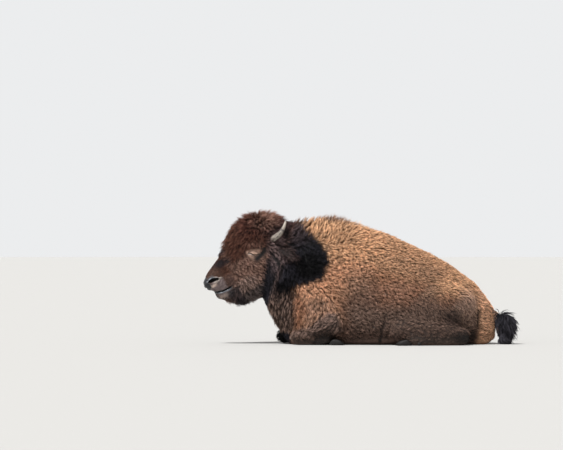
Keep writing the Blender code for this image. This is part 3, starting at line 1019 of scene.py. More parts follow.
    def owners(self, points: np.ndarray) -> tuple[list[str], np.ndarray]:
        """The solid nearest to each place.

        Args:
            points: Places, one row each.

        Returns:
            The solids' names, and for each place the number of its solid among them.
        """
        names, verts, faces, owner = self.flesh_names(), [], [], []
        for number, name in enumerate(names):
            mesh = self.nodes[name].data
            base = len(verts)
            verts += [v.co.copy() for v in mesh.vertices]
            faces += [[base + k for k in face.vertices] for face in mesh.polygons]
            owner += [number] * len(mesh.polygons)
        tree = BVHTree.FromPolygons(verts, faces)
        return names, np.array([owner[tree.find_nearest(p)[2]] for p in points])

    def survey(self, net: Net, mesh: bpy.types.Mesh) -> None:
        """Works out, at each place of the outer surface, which part of the animal it is.

        Args:
            net: The surface's net.
            mesh: The surface.
        """
        names, owner = self.owners(net.points)
        groups = {
            "head": "head", "jaw": "lower_jaw", "neck": "neck", "trunk": "trunk", "ear": "ear_{}",
            "tail": "tail", "switch": "tail_tuft", "upper": "foreleg_{}_upper",
            "forearm": "foreleg_{}_forearm", "fore_cannon": "foreleg_{}_cannon",
            "thigh": "hindleg_{}_thigh", "shank": "hindleg_{}_shank", "hind_cannon": "hindleg_{}_cannon",
        }
        for group, pattern in groups.items():
            numbers = [names.index(pattern.format(word)) for word in ("left", "right")]
            self.masks[group] = net.soften(np.isin(owner, numbers).astype(float), 5)
        self.chart = Chart(net.points.copy())
        self.hair["outward"] = unit(net.soften(read_normals(mesh), 4))
        self.zones(net)
        self.flow(net)

    def zones(self, net: Net) -> None:
        """Weighs the kinds of hair at each place, and the length, lift and width that they give.

        Args:
            net: The outer surface's net.
        """
        m, h, chart = self.masks, self.hair, self.chart
        p, x, z, s, d = chart.points, chart.x, chart.z, chart.s, chart.d
        face = m["face"] = np.clip(m["head"] + m["jaw"] + m["ear"], 0, 1)
        body = 1 - face
        opening = inside(p, self.lid_outline)
        m["lids"] = face * ramp(opening, -0.005, 0.004)
        m["groove"] = np.maximum.reduce([
            face * band(p, 0.0125, *self.socket_groove),
            band(p, 0.0065, *self.arm_groove) * 0.9,
            face * band(p, 0.0060, *self.brow_shade) * 0.6,
            band(p, 0.010, *self.cheek_groove),
            body * band(p, 0.009, *self.flank_groove) * 0.7,
            body * band(p, 0.011, *self.rump_groove) * 0.9,
        ])
        m["hollow"] = body * ramp(inside(p, self.elbow_hollow), -0.010, 0.010)
        x0, y0, z0 = self.horn_root
        horns = [(x0, (y0 + 0.02) * side, z0) for side in (LEFT, RIGHT)]
        socket = np.maximum(ramp(opening, -0.018, -0.006), band(p, 0.016, *self.socket_groove))
        low_flank = np.maximum(ramp(x, 0.30, 0.52), ramp(z, 0.22, 0.12) * ramp(x, 0.0, 0.15))
        chin = ramp(s, 0.05, 0.08) * ramp(s, 0.33, 0.22) * ramp(np.abs(chart.y), 0.085, 0.055)
        self.layers = {
            Zone.LOIN: body * ramp(x, 0.20, 0.42) * ramp(z, 0.25, 0.40),
            Zone.FLANK: body * low_flank * ramp(z + x * 0.18, 0.46, 0.30),
            Zone.HUMP: body * ramp(x, 0.26, 0.0) * ramp(z, 0.50, 0.66),
            Zone.CREST: body * ramp(z + 0.1 * x, 0.700, 0.735) * ramp(x, 0.12, -0.04),
            Zone.SHOULDER: body * ramp(x, 0.10, -0.10) * ramp(z, 0.66, 0.50),
            Zone.BREAST: body * ramp(x, -0.26, -0.36) * ramp(z, 0.42, 0.30),
            Zone.UPPER_LEG: body * np.clip(m["upper"] + m["forearm"] * 0.5, 0, 1) * ramp(z, 0.36, 0.26),
            Zone.MANE: body * ramp(x, -0.26, -0.36) * ramp(z, 0.30, 0.42),
            Zone.NAPE: body * ramp(x, -0.18, -0.30) * ramp(z, 0.60, 0.70),
            Zone.FOREARM: m["forearm"] + m["thigh"] * ramp(z, 0.16, 0.10) * 0.5,
            Zone.CHEEK: face,
            Zone.FOREHEAD: face * ramp(s, 0.175, 0.225) * ramp(d, 0.03, 0.10),
            Zone.CROWN: face * ramp(s, 0.30, 0.40) * ramp(d, 0.06, 0.14),
            Zone.HORN_BASE: np.maximum(*[ball(p, root, (0.05, 0.06, 0.05), 0.4) for root in horns]),
            Zone.BEARD: face * ramp(d, -0.115, -0.150) * chin,
            Zone.BRIDGE: face * ramp(s, 0.215, 0.165) * ramp(d, -0.115, -0.085),
            Zone.MUZZLE: face * ramp(s, 0.155, 0.105) * ramp(d, -0.14, -0.12),
            Zone.FORELOCK: face * ball(p, (-0.750, 0.0, 0.552), (0.034, 0.05, 0.030), 0.4),
            Zone.SOCKET: face * socket,
            Zone.LIDS: m["lids"],
            Zone.EAR: m["ear"],
            Zone.SHIN: np.clip(m["fore_cannon"] + m["hind_cannon"], 0, 1),
            Zone.TAIL: m["tail"],
            Zone.SWITCH: m["switch"] * ramp(x, 0.845, 0.875),
            Zone.PRESSED: ramp(h["outward"][:, 2], -0.55, -0.85) * ramp(z, 0.06, 0.02),
        }
        for quality in ("length", "lift", "width"):
            value = np.full(len(p), float(getattr(Zone.WOOL.value, quality)))
            for zone, weight in self.layers.items():
                value += (getattr(zone.value, quality) - value) * weight
            h[quality] = value
        h["lift"] = np.radians(h["lift"])
        depth = net.soften(self.sunk * h["length"] * np.sin(h["lift"]), 4)
        h["depth"] = depth + self.groove_depth * np.maximum(m["groove"], m["hollow"])
        h["length"] = h["length"] * (1 - 0.78 * m["groove"]) * (1 - 0.35 * m["hollow"])

    def flow(self, net: Net) -> None:
        """Works out which way the hair lies at each place, along the surface.

        Args:
            net: The outer surface's net.
        """
        m, n, chart = self.masks, self.hair["outward"], self.chart
        p, x, y, z, s, d = chart.points, chart.x, chart.y, chart.z, chart.s, chart.d
        side = np.sign(y) * ramp(np.abs(y), 0.0, 0.05)
        along, _, over = HEAD.axes()
        whorl = np.array(HEAD.place(0.47, 0.0, 0.20))
        ears = np.stack([np.full(len(p), 0.60), 0.60 * np.sign(y), np.full(len(p), -0.62)], 1)
        turns = (
            ((1.0, 0.0, -0.30), ramp(x, 0.25, 0.5) * (1 - m["face"])),
            ((0.45, 0.0, -1.0), ramp(x, -0.14, -0.30)),
            ((0.05, 0.0, -1.0), ramp(x, -0.34, -0.42) * ramp(z, 0.42, 0.3)),
            ((0.30, 0.0, 0.95), ramp(x, 0.14, -0.10) * ramp(z, 0.54, 0.66) * 0.85),
            ((0.80, 0.0, 0.55), ramp(x, -0.22, -0.32) * ramp(z, 0.60, 0.70)),
            ((-0.20, 0.0, -1.0), m["upper"] * ramp(z, 0.34, 0.22)),
            ((-0.85, 0.0, -0.45), m["forearm"]),
            ((1.0, 0.0, 0.0), m["fore_cannon"]),
            ((0.62, 0.0, -0.80), m["thigh"]),
            ((1.0, 0.0, -0.35), m["shank"]),
            ((-1.0, 0.0, 0.05), m["hind_cannon"]),
            (0.42 * along - 0.90 * over, m["face"]),
            (unit(p - whorl), m["face"] * ramp(s, 0.19, 0.25) * ramp(d, 0.03, 0.10)),
            (-0.9 * along - 0.25 * over, m["face"] * ramp(s, 0.235, 0.195) * ramp(d, -0.02, 0.02)),
            (0.9 * along - 0.35 * over, m["face"] * ramp(s, 0.19, 0.16) * ramp(d, 0.03, -0.01)),
            ((0.15, 0.0, -1.0), m["jaw"] * ramp(d, -0.10, -0.13)),
            ((0.80, 0.0, 0.45), self.layers[Zone.HORN_BASE] * 0.7),
            (ears, m["ear"]),
            ((0.80, 0.0, -0.75), m["tail"]),
            ((0.35, -0.2, -0.95), m["switch"]),
            ((-0.55, -0.2, -0.80), m["switch"] * ramp(x, 0.895, 0.872)),
        )
        lie = np.tile(np.array([1.0, 0.0, -0.62]), (len(p), 1))
        lie[:, 1] += 0.35 * side
        for direction, weight in turns:
            lie = lie + (np.asarray(direction, float) - lie) * weight[:, None]
        lie = lie - n * (lie * n).sum(1)[:, None]
        lie = net.soften(unit(lie), 8)
        self.hair["lie"] = unit(lie - n * (lie * n).sum(1)[:, None])

    def sink(self, net: Net, mesh: bpy.types.Mesh) -> None:
        """Draws the surface in by the depth of the coat, and lets it carry what the survey found.

        Args:
            net: The surface's net.
            mesh: The surface.
        """
        outer = self.chart.points
        points = net.soften(outer - self.hair["outward"] * self.hair["depth"][:, None], 3)
        points[:, 2] = np.maximum(points[:, 2], self.floor)
        write_points(mesh, points)
        values = {"outer": outer} | self.hair | {f"m_{name}": mask for name, mask in self.masks.items()}
        values |= {f"z_{zone.name}": weight for zone, weight in self.layers.items()}
        for name, value in values.items():
            store(mesh, name, value)

    def refine(self, shell: bpy.types.Object) -> None:
        """Divides the faces of the muzzle and the lids, for their small forms.

        Args:
            shell: The skin.
        """
        mesh = bmesh.new()
        mesh.from_mesh(shell.data)
        eyes = [HEAD.eye(side) for side in (LEFT, RIGHT)]
        axes, origin = Matrix(HEAD.axes().tolist()), Vector(HEAD.origin)
        rear, low = self.fine_muzzle

        def near(co: Vector, more: float) -> bool:
            """Tells whether a place is on the muzzle or near an eye.

            Args:
                co: The place.
                more: How much wider both are taken.

            Returns:
                Whether it is.
            """
            along, _, up = axes @ (co - origin)
            muzzle = along < rear + more and up > low - more
            return muzzle or min((co - eye).length for eye in eyes) < self.fine_lids + more

        for more in (0.012, 0.0):
            chosen = [e for e in mesh.edges if all(near(v.co, more) for v in e.verts)]
            bmesh.ops.subdivide_edges(mesh, edges=chosen, cuts=1, use_grid_fill=True, smooth=0.0)
        mesh.to_mesh(shell.data)
        mesh.free()

    def carve(self, mesh: bpy.types.Mesh) -> None:
        """Models the nostrils, the lips and the lids.

        Args:
            mesh: The skin's mesh.
        """
        net = Net(mesh)
        p = net.points
        muzzle = ramp(HEAD.measure(p)[:, 0], 0.175, 0.150)
        away = [np.linalg.norm(p - np.array(HEAD.eye(side)), axis=1) for side in (LEFT, RIGHT)]
        near_eye = ramp(np.minimum(*away), 0.075, 0.055)
        p = net.soften(p, 14, 0.5 * np.clip(muzzle + near_eye, 0, 1)[:, None])
        write_points(mesh, p)
        self.chart = Chart(p)
        push = (self.nostrils() + self.lips()) * muzzle
        for name in self.forms:
            self.forms[name] = self.forms[name] * muzzle
        p = p + read_normals(mesh) * push[:, None]
        for side in (LEFT, RIGHT):
            p[:, 1] += self.lids(side)
        write_points(mesh, p)

    def nostrils(self) -> np.ndarray:
        """Shapes each nostril, a comma that opens backwards, with a raised wing round it.

        Returns:
            How far each place is pushed out.
        """
        s, d = self.chart.s, self.chart.d
        flank = ramp(np.abs(self.chart.y), 0.020, 0.040)
        t = np.clip((s - 0.036) / 0.068, 0, 1)
        middle = 0.004 - 0.011 * t + 0.004 * np.sin(t * math.pi)
        half = 0.0035 + 0.0070 * np.sin(np.clip(t * 1.05, 0, 1) * math.pi) ** 0.7
        away = np.hypot((d - middle) / half, np.clip(np.abs(s - 0.070) - 0.022, 0, 1) / 0.012)
        rim = ramp(away, 2.7, 1.7) * ramp(away, 0.9, 1.35) * flank
        brink = (d - middle - half - 0.0045) / 0.0026
        shine = 0.65 + 0.35 * np.sin(s * 260)
        self.forms["hole"] = ramp(away, 1.35, 0.95) * flank
        self.forms["wing"] = rim * ramp(s, 0.050, 0.075) * ramp(d, 0.020, 0.010)
        ends = ramp(s, 0.022, 0.034) * ramp(s, 0.104, 0.092)
        # the gleam is a painted highlight: a bright wet band above the nostril
        self.forms["gleam"] = 0.75 * bell(brink) * flank * ends * shine
        return 0.0040 * rim - 0.018 * ramp(away, 1.15, 0.55) * flank

    def lips(self) -> np.ndarray:
        """Shapes the lips, the groove down their middle, and the wrinkles behind the nostrils.

        Returns:
            How far each place is pushed out.
        """
        s, y, d = self.chart.s, self.chart.y, self.chart.d
        over = d - self.mouth_line(s)
        mouth = ramp(s, 0.158, 0.140)
        crease = bell(over / 0.0032) * mouth
        upper, lower = bell((over - 0.013) / 0.010) * mouth, bell((over + 0.012) / 0.009) * mouth
        groove = ramp(s, 0.045, 0.020) * bell(y / 0.004)
        fold = np.sin((s * 0.8 + np.abs(d) * 0.5) * 520) * ramp(s, 0.095, 0.115) * ramp(s, 0.160, 0.140)
        self.forms["crease"] = crease
        push = 0.0030 * upper + 0.0016 * lower - 0.0065 * crease
        return push - 0.003 * groove + 0.0007 * fold * ramp(d, -0.07, -0.05)

    def lids(self, side: float) -> np.ndarray:
        """Shapes the closed lids of one eye, and notes where they fold, meet and carry lashes.

        Args:
            side: The eye's side.

        Returns:
            How far each place moves along Y.
        """
        dx, dy, dz = (self.chart.points - np.array(HEAD.eye(side))).T
        a = dx * math.cos(self.lid_tilt) - dz * math.sin(self.lid_tilt)
        b = dx * math.sin(self.lid_tilt) + dz * math.cos(self.lid_tilt)
        out = dy * side
        facing = ramp(out, -0.02, 0.0)
        bulge = np.sqrt(np.maximum((EYE_RADIUS + self.lid_gap) ** 2 - np.hypot(a, b) ** 2, 0))
        wide = np.hypot((a - 0.003) / 0.054, (b + 0.002) / 0.039)
        base = 0.0115 - 0.008 * np.clip(wide, 0, 2) ** 2
        line = dz - np.interp(dx, *zip(*self.lid_line))
        length = ramp(np.abs(a), 0.037, 0.026)
        lower_edge = bell((line + 0.0048) / 0.0028) * length
        fold = bell((wide - 0.60) / 0.055) * ramp(b, -0.004, 0.004)
        fold += 0.8 * bell((wide - 0.66) / 0.06) * ramp(b, 0.004, -0.004)
        fold += 0.5 * bell((line - 0.0125 + 2.0 * dx * dx) / 0.0018) * length
        fold += 0.4 * bell((line + 0.0125 - 2.0 * dx * dx) / 0.0018) * length
        notes = {
            "lid_open": bell(line / 0.0034) * length,
            "lash": bell((line - 0.0015) / 0.0016) * length,
            "lid_rim": lower_edge * ramp(dx, 0.010, -0.010),
            "lid_grey": ramp(dx, -0.004, 0.014) * ramp(line, 0.0, -0.006),
            "lid_fold": fold * ramp(wide, 1.1, 0.9),
        }
        for name, value in notes.items():
            self.forms[name] = np.maximum(self.forms.get(name, 0.0), value * facing)
        target = np.maximum(bulge, 0.006 + base * 0.9) + 0.0016 * bell((line - 0.0052) / 0.0030) * length
        target += 0.0014 * lower_edge - 0.0060 * bell(line / 0.0028) * length - 0.0026 * fold
        return (target - out) * ramp(wide, 1.15, 0.62) * facing * side

    def mark(self, mesh: bpy.types.Mesh) -> None:
        """Paints the markings, says where the skin is bare or wet, and parts the coat into pieces.

        Args:
            mesh: The skin's mesh.
        """
        self.chart, self.hair["outward"] = Chart(recall(mesh, "outer")), recall(mesh, "outward")
        self.masks = {name: recall(mesh, f"m_{name}") for name in self.masks}
        self.layers = {zone: recall(mesh, f"z_{zone.name}") for zone in self.layers}
        m, w, f = self.masks, self.layers, self.forms
        colour = np.tile(np.array(Hue.SIDE.value), (len(self.chart.points), 1))
        for hue, weight in self.body_marks() + self.mane_marks() + self.face_marks() + self.small_marks():
            colour = colour + (np.array(hue.value) - colour) * np.clip(weight, 0, 1)[:, None]
        bare = np.clip(f["leather"] + f["hole"] + f["crease"] + m["lids"] * 0.55, 0, 1)
        cover = (1 - np.clip(bare * 3.0, 0, 1)) * (1 - w[Zone.PRESSED])
        cover = np.where(w[Zone.LIDS] > 0.3, (1 - f["lid_open"]) * 0.9, cover)
        lashes = f["lash"] > 0.5
        values = {
            "marking": np.column_stack([colour, np.ones(len(colour))]),
            "bare": bare,
            "wet": f["leather"],
            # painted shade: how far the skin is darkened under its hair
            "under": np.clip(recall(mesh, "depth") / self.shaded_depth, 0, 1),
            "cover": np.maximum(cover, lashes),
        }
        for name, value in values.items():
            store(mesh, name, value)
        self.lay_lashes(mesh, lashes)
        self.part(mesh, lashes)
        for name in list(mesh.attributes.keys()):
            if name.startswith(("m_", "z_")) or name in ("outer", "depth"):
                mesh.attributes.remove(mesh.attributes[name])

    def body_marks(self) -> Marks:
        """The markings of the back, the sides and the legs.

        Returns:
            The markings in the order of painting.
        """
        m, chart = self.masks, self.chart
        x, z, spot, body = chart.x, chart.z, chart.spot, 1 - m["face"]
        return [
            # the pale back, and painted light on every face that looks up
            (Hue.BACK, ramp(self.hair["outward"][:, 2], 0.15, 0.75) + ramp(z + 0.35 * x, 0.45, 0.64)),
            (Hue.SHOULDER, spot(-0.02, 0.42, 0.13, 0.13)),
            (Hue.HUMP, ramp(x, 0.30, 0.0) * ramp(z, 0.43, 0.56)),
            (Hue.WITHERS, ramp(x, 0.14, -0.06) * ramp(z, 0.56, 0.63)),
            (Hue.CREST, ramp(z + 0.1 * x, 0.698, 0.735) * ramp(x, 0.06, -0.06) * 0.85),
            (Hue.SHOULDER, ramp(x, 0.0, -0.12) * ramp(z, 0.50, 0.36)),
            (Hue.FLANK, ramp(z, 0.32, 0.18) * ramp(x, -0.14, 0.02)),
            (Hue.FLANK, spot(0.045, 0.30, 0.105, 0.125, 0.6) * 0.68),
            (Hue.FLANK, spot(0.30, 0.46, 0.13, 0.06, 0.6) * 0.22),
            (Hue.FLANK, spot(0.46, 0.40, 0.10, 0.05, 0.6) * 0.35),
            (Hue.THIGH, spot(0.27, 0.32, 0.13, 0.06, 0.6) * 0.25),
            (Hue.BELLY, ramp(z, 0.16, 0.03) * 0.9),
            (Hue.FLANK, m["thigh"] * ramp(x, 0.56, 0.44) * 0.6),
            # painted highlight on the top of the haunch
            (Hue.HUMP, spot(0.60, 0.375, 0.10, 0.045, 0.6) * 0.8),
            (Hue.THIGH, spot(0.68, 0.22, 0.07, 0.10, 0.6) * 0.85),
            (Hue.RUMP_REAR, ramp(x, 0.72, 0.76) * body),
            (Hue.RUMP_DARK, ball(chart.wavy, (0.600, 0.0, 0.163), (0.066, 0.6, 0.052)) * 0.85),
            (Hue.ARM, m["upper"] * ramp(z, 0.33, 0.22) * ramp(x, -0.30, -0.24)),
            (Hue.SIDE, spot(-0.31, 0.20, 0.045, 0.13) * 0.9),
            (Hue.FORELEG, m["forearm"]),
            (Hue.SHIN, m["fore_cannon"] + m["hind_cannon"]),
            # painted shadow below the folded hind leg
            (Hue.BLACK, spot(0.655, 0.045, 0.065, 0.045) * 0.75),
        ]

    def mane_marks(self) -> Marks:
        """The markings of the mane, the throat and the breast.

        Returns:
            The markings in the order of painting.
        """
        chart, body = self.chart, 1 - self.masks["face"]
        x, z, spot = chart.x, chart.z, chart.spot
        curls = ripple(chart.points * 5.0, 1.0)
        curls = ramp(curls[:, 0] + curls[:, 2], 0.2, 1.0)
        breast = ramp(z, 0.34, 0.29) * ramp(z, 0.09, 0.12) * ramp(x, -0.30, -0.345) * body
        outline = ramp(inside(chart.wavy, self.mane_outline), -0.006, 0.006)
        return [
            (Hue.MANE, np.maximum(outline, ramp(x, -0.35, -0.37))),
            # painted shadow on the folded forelegs' front, low by the floor
            (Hue.CREASE, ramp(x - 0.465 * (0.079 - z), -0.398, -0.410) * ramp(z, 0.095, 0.078) * body),
            (Hue.EAR, spot(-0.330, 0.735, 0.065, 0.050) * body * 0.9),
            (Hue.THROAT, ramp(z, 0.31, 0.25) * ramp(x, -0.33, -0.36) * ramp(z, 0.078, 0.095) * body * 0.9),
            # painted shade under the jaw
            (Hue.BLOT, ramp(z, 0.26, 0.31) * ramp(z, 0.40, 0.36) * ramp(x, -0.30, -0.34) * body * 0.9),
            # the neck's black hair, deepened with painted shade
            (Hue.BLOT, spot(-0.250, 0.468, 0.095, 0.078, 0.35) * body),
            # black between the breast's curls, partly painted shade
            (Hue.BLOT, breast * (1 - curls) * 0.6),
            # lighter curl tips on the breast, partly painted sunlight on them
            (Hue.FORELEG, breast * curls),
        ]

    def face_marks(self) -> Marks:
        """The markings of the cheeks, the forehead, the crown and the locks behind the horns.

        Returns:
            The markings in the order of painting.
        """
        w, face, chart = self.layers, self.masks["face"], self.chart
        s, d, spot, head_spot = chart.s, chart.d, chart.spot, chart.head_spot
        return [
            (Hue.CHEEK, face),
            (Hue.CHEEK_LOW, face * head_spot(0.215, -0.110, 0.080, 0.040) * 0.8),
            (Hue.JAW, face * ramp(d, -0.125, -0.165)),
            (Hue.MANE, face * ramp(s - 0.8 * d, 0.405, 0.445) * ramp(d, -0.01, -0.06)),
            (Hue.FOREHEAD, face * ramp(s, 0.18, 0.23) * ramp(d, 0.015, 0.055)),
            (Hue.FOREHEAD, face * ramp(s, 0.36, 0.43) * ramp(d, -0.05, 0.01) * 0.8),
            (Hue.CROWN, w[Zone.CROWN]),
            (Hue.CHEEK, spot(-0.572, 0.590, 0.050, 0.020) * face * 0.28),
            (Hue.MANE, face * ramp(s, 0.43, 0.50) * ramp(d, 0.16, 0.08) * 0.7),
            (Hue.CHEEK, spot(-0.50, 0.735, 0.07, 0.05, 0.6) * 0.70),
            (Hue.LOCKS, spot(-0.330, 0.650, 0.090, 0.055, 0.6) * (1 - face) * 0.24),
            (Hue.LOCKS, spot(-0.440, 0.540, 0.050, 0.100) * 0.85),
            # painted shadow under and behind the horn
            (Hue.CREASE, ball(chart.points, (-0.380, 0.0, 0.653), (0.015, 0.9, 0.034)) * 0.85),
            (Hue.BRIDGE, w[Zone.BRIDGE] * ramp(d, -0.03, 0.01)),
            (Hue.MANE, face * head_spot(0.158, 0.068, 0.055, 0.024, 0.6) * 0.85),
            (Hue.MANE, face * head_spot(0.145, -0.050, 0.026, 0.032, 0.6) * 0.5),
            (Hue.MUZZLE, w[Zone.MUZZLE] * ramp(d, 0.075, 0.045)),
            (Hue.MANE, w[Zone.FORELOCK] * 0.85),
        ]

    def small_marks(self) -> Marks:
        """The markings of the mouth, the nose and the eyes, and of the tail's tuft.

        Returns:
            The markings in the order of painting.
        """
        m, f, chart = self.masks, self.forms, self.chart
        face, muzzle = m["face"], self.layers[Zone.MUZZLE]
        s, d, head_spot = chart.s, chart.d, chart.head_spot
        over = d - self.mouth_line(s)
        chin = ramp(s, 0.085, 0.115) * ramp(s, 0.200, 0.165)
        lines = 0.55 + 0.45 * np.sin((d + 0.25 * s) * 900)
        pad = face * ramp(s, 0.044, 0.032) * ramp(d, -0.040, -0.030) * ramp(d, 0.052, 0.036)
        bridge = ramp(s, 0.085, 0.070) * ramp(d, 0.040, 0.022) * ramp(d, 0.0, 0.008)
        pad = np.maximum(pad, face * bridge * 0.9)
        lips = face * ramp(over, -0.016, -0.010) * ramp(over, 0.008, 0.004) * ramp(s, 0.150, 0.135)
        leather = np.maximum(pad, lips)
        f["leather"] = np.clip(leather + f["gleam"], 0, 1)
        shine = 0.10 + 0.75 * bell((s - 0.068) / 0.010) + 0.25 * bell((s - 0.108) / 0.016)
        return [
            (Hue.UPPER_LIP, muzzle * ramp(d, -0.004, -0.014) * ramp(s, 0.130, 0.112) * 0.9),
            (Hue.JAW, muzzle * ramp(over, -0.004, -0.014)),
            (Hue.MANE, face * chin * ramp(over, -0.008, -0.022) * 0.8),
            (Hue.TAN_LIP, face * head_spot(0.066, -0.112, 0.034, 0.016) * lines * 0.6),
            (Hue.TAN_LIP, head_spot(0.050, -0.027, 0.022, 0.009)),
            (Hue.WING, f["wing"] * 0.9),
            (Hue.EAR, m["ear"]),
            # painted shade in the grooves, and at half strength in the elbow's hollow
            (Hue.CREASE, np.maximum(m["groove"] * 0.97, m["hollow"] * 0.50)),
            (Hue.LID, m["lids"] * (1 - m["groove"])),
            (Hue.WING, f["lid_rim"] * 0.8),
            (Hue.EAR, f["lid_grey"] * m["lids"] * 0.75),
            (Hue.SWITCH, m["switch"] * ramp(chart.x, 0.845, 0.868)),
            (Hue.LEATHER, leather),
            # painted highlights above the nostril and along the lower lip
            (Hue.WET, f["gleam"] + lips * bell((over + 0.0090) / 0.0024) * shine),
            # painted shade inside the nostril
            (Hue.CREASE, f["hole"]),
            # painted shade along the mouth's crease and in the eye's slit
            (Hue.CREASE, np.maximum(f["crease"], f["lid_open"])),
            # painted shade in the lids' folds
            (Hue.CREASE, f["lid_fold"] * 0.45),
        ]

    def lay_lashes(self, mesh: bpy.types.Mesh, lashes: np.ndarray) -> None:
        """Gives the places at the upper lid's edge a lash's length, lift, width and lie.

        Args:
            mesh: The skin's mesh.
            lashes: Whether each place is one of them.
        """
        pelt = Zone.LASHES.value
        values = {"length": pelt.length, "lift": math.radians(pelt.lift), "width": pelt.width}
        for name, value in values.items():
            store(mesh, name, np.where(lashes, value, recall(mesh, name)))
        lie = recall(mesh, "lie")
        lie[lashes] = (-0.25, 0.0, -1.0)
        store(mesh, "lie", lie)

    def mouth_line(self, s: np.ndarray) -> np.ndarray:
        """How high the mouth's line is in the head's axes, for places along the head."""
        return np.interp(s, *zip(*self.mouth_stops))

    def part(self, mesh: bpy.types.Mesh, lashes: np.ndarray) -> None:
        """Numbers the faces by the piece of the coat that they carry.

        Args:
            mesh: The skin's mesh.
            lashes: Whether each place carries lashes.
        """
        m, w = self.masks, self.layers
        x, y, z = self.chart.points.T
        rear, face = (x > 0.40) | (m["thigh"] > 0.5), m["face"] > 0.5
        small = np.maximum.reduce([w[Zone.BRIDGE], w[Zone.MUZZLE], w[Zone.LIDS]])
        rows = (
            (Patch.SIDE_LEFT, (x > 0.02) & (y < 0)),
            (Patch.SIDE_RIGHT, (x > 0.02) & (y >= 0)),
            (Patch.RUMP_LEFT, rear & (y < 0)),
            (Patch.RUMP_RIGHT, rear & (y >= 0)),
            (Patch.MANE, (m["neck"] > 0.5) | ((x < -0.27) & (m["trunk"] > 0.3))),
            (Patch.FORELEGS, (m["upper"] + m["forearm"] + m["fore_cannon"] > 0.5) & (z < 0.36)),
            (Patch.HIND_LEGS, m["shank"] + m["hind_cannon"] > 0.5),
            (Patch.TAIL, m["tail"] + m["switch"] > 0.5),
            (Patch.CHEEKS, face),
            (Patch.CROWN, face & (np.maximum(w[Zone.CROWN], w[Zone.FOREHEAD]) > 0.5)),
            (Patch.FACE, face & (small > 0.5)),
            (Patch.LASHES, lashes),
        )
        piece = np.full(len(x), Patch.HUMP.value, np.int32)
        for patch, where in rows:
            piece[where] = patch.value
        first = read(mesh.polygons, "loop_start", 1, np.int32)[:, 0]
        corners = read(mesh.loops, "vertex_index", 1, np.int32)[:, 0]
        layer = mesh.attributes.new("piece", "INT", "FACE")
        layer.data.foreach_set("value", piece[corners[first]])

    def unwrap(self, shell: bpy.types.Object) -> None:
        """Unwraps the skin by its own shape.

        Args:
            shell: The skin.
        """
        shell.data.uv_layers.new(name=UV_MAP)
        bpy.ops.object.select_all(action="DESELECT")
        shell.select_set(True)
        bpy.context.view_layer.objects.active = shell
        bpy.ops.object.mode_set(mode="EDIT")
        bpy.ops.mesh.select_all(action="SELECT")
        bpy.ops.uv.smart_project(angle_limit=1.15, island_margin=0.004, scale_to_bounds=True)
        bpy.ops.object.mode_set(mode="OBJECT")


class Curl(Enum):
    """The shapes of a lock: how far it bends over in degrees, and how it waves sideways in widths."""

    ARC = (50.0, 0.8)
    HOOK = (90.0, -1.6)
    WAVE = (30.0, 2.0)


class Grain(Enum):
    """How finely a lock is made: where its rings are, and how thick it is there."""

    SHORT = ((0.0, 0.46), (0.85, 1.0))
    LONG = ((0.0, 0.36, 0.72), (0.80, 1.0, 0.62))


@dataclass(frozen=True)
class Lock:
    """One lock of hair as a three-sided spike of length and width 1 that bends over."""

    curl: Curl
    grain: Grain
    thick: float = 0.036
    steps: int = 24  # of the spine
    sunk: tuple = (0.04, 0, 0.05)  # how far the foot goes back and down into the skin

    def spine(self, t: float) -> Vector:
        """The middle of the lock at a share of its length.

        Args:
            t: The share, from 0 to 1.

        Returns:
            The place.
        """
        bend, wave = self.curl.value
        place = Vector((0, 0, 0))
        for k in range(round(t * self.steps)):
            turn = math.radians(bend * (0.5 - (k + 0.5) / self.steps))
            place += Vector((math.cos(turn), 0, math.sin(turn))) / self.steps
        place.y = wave * math.sin(t * math.pi * 1.25)
        return place

    def build(self) -> bpy.types.Object:
        """Makes the lock along +X, rising to +Z, with its unwrap and its reach from root to tip.

        Returns:
            The lock, which isn't in the scene.
        """
        bm = bmesh.new()
        reach = bm.verts.layers.float.new("reach")
        flat = bm.loops.layers.uv.new("strand")
        rings = []
        for t, girth in zip(*self.grain.value):
            middle, half, high = self.spine(t), 0.5 * girth, self.thick * girth
            if t == 0:
                middle -= Vector(self.sunk)
            corners = ((0, half, -0.2 * high), (0, -half, -0.2 * high), (0, 0, high))
            rings.append([bm.verts.new(middle + Vector(corner)) for corner in corners])
            for vert in rings[-1]:
                vert[reach] = t
        tip = bm.verts.new(self.spine(1.0))
        tip[reach] = 1.0
        close_rings(bm, rings, tip)
        bmesh.ops.triangulate(bm, faces=bm.faces)
        for face in bm.faces:
            for loop in face.loops:
                loop[flat].uv = (0.5 + loop.vert.co.y * 0.8, loop.vert[reach])
        name = f"lock_{self.grain.name}_{self.curl.name}".lower()
        return bpy.data.objects.new(name, build_mesh(bm, name))


@dataclass(frozen=True)
class CoatPiece(Dressed):
    """One piece of the coat: where it grows, how close its locks stand and how they clump.

    spacing is the least distance between roots. clump_along and clump_across are the size of a clump along
    the lie of the body's hair and across it, and pull is how far the tips lean to its middle.
    """

    patch: Patch
    slot: str
    grain: Grain
    spacing: float
    clump_along: float
    clump_across: float
    pull: float
    ruffle: float
    swirl: float
    seed: int

    @property
    def name(self) -> str:
        """The piece's name."""
        return f"coat_{self.patch.name}".lower()

    @property
    def finish(self) -> Finish:
        """The finish of its hair."""
        return DARK_WOOL if self.slot in ("hair_dark", "hair_black") else WOOL


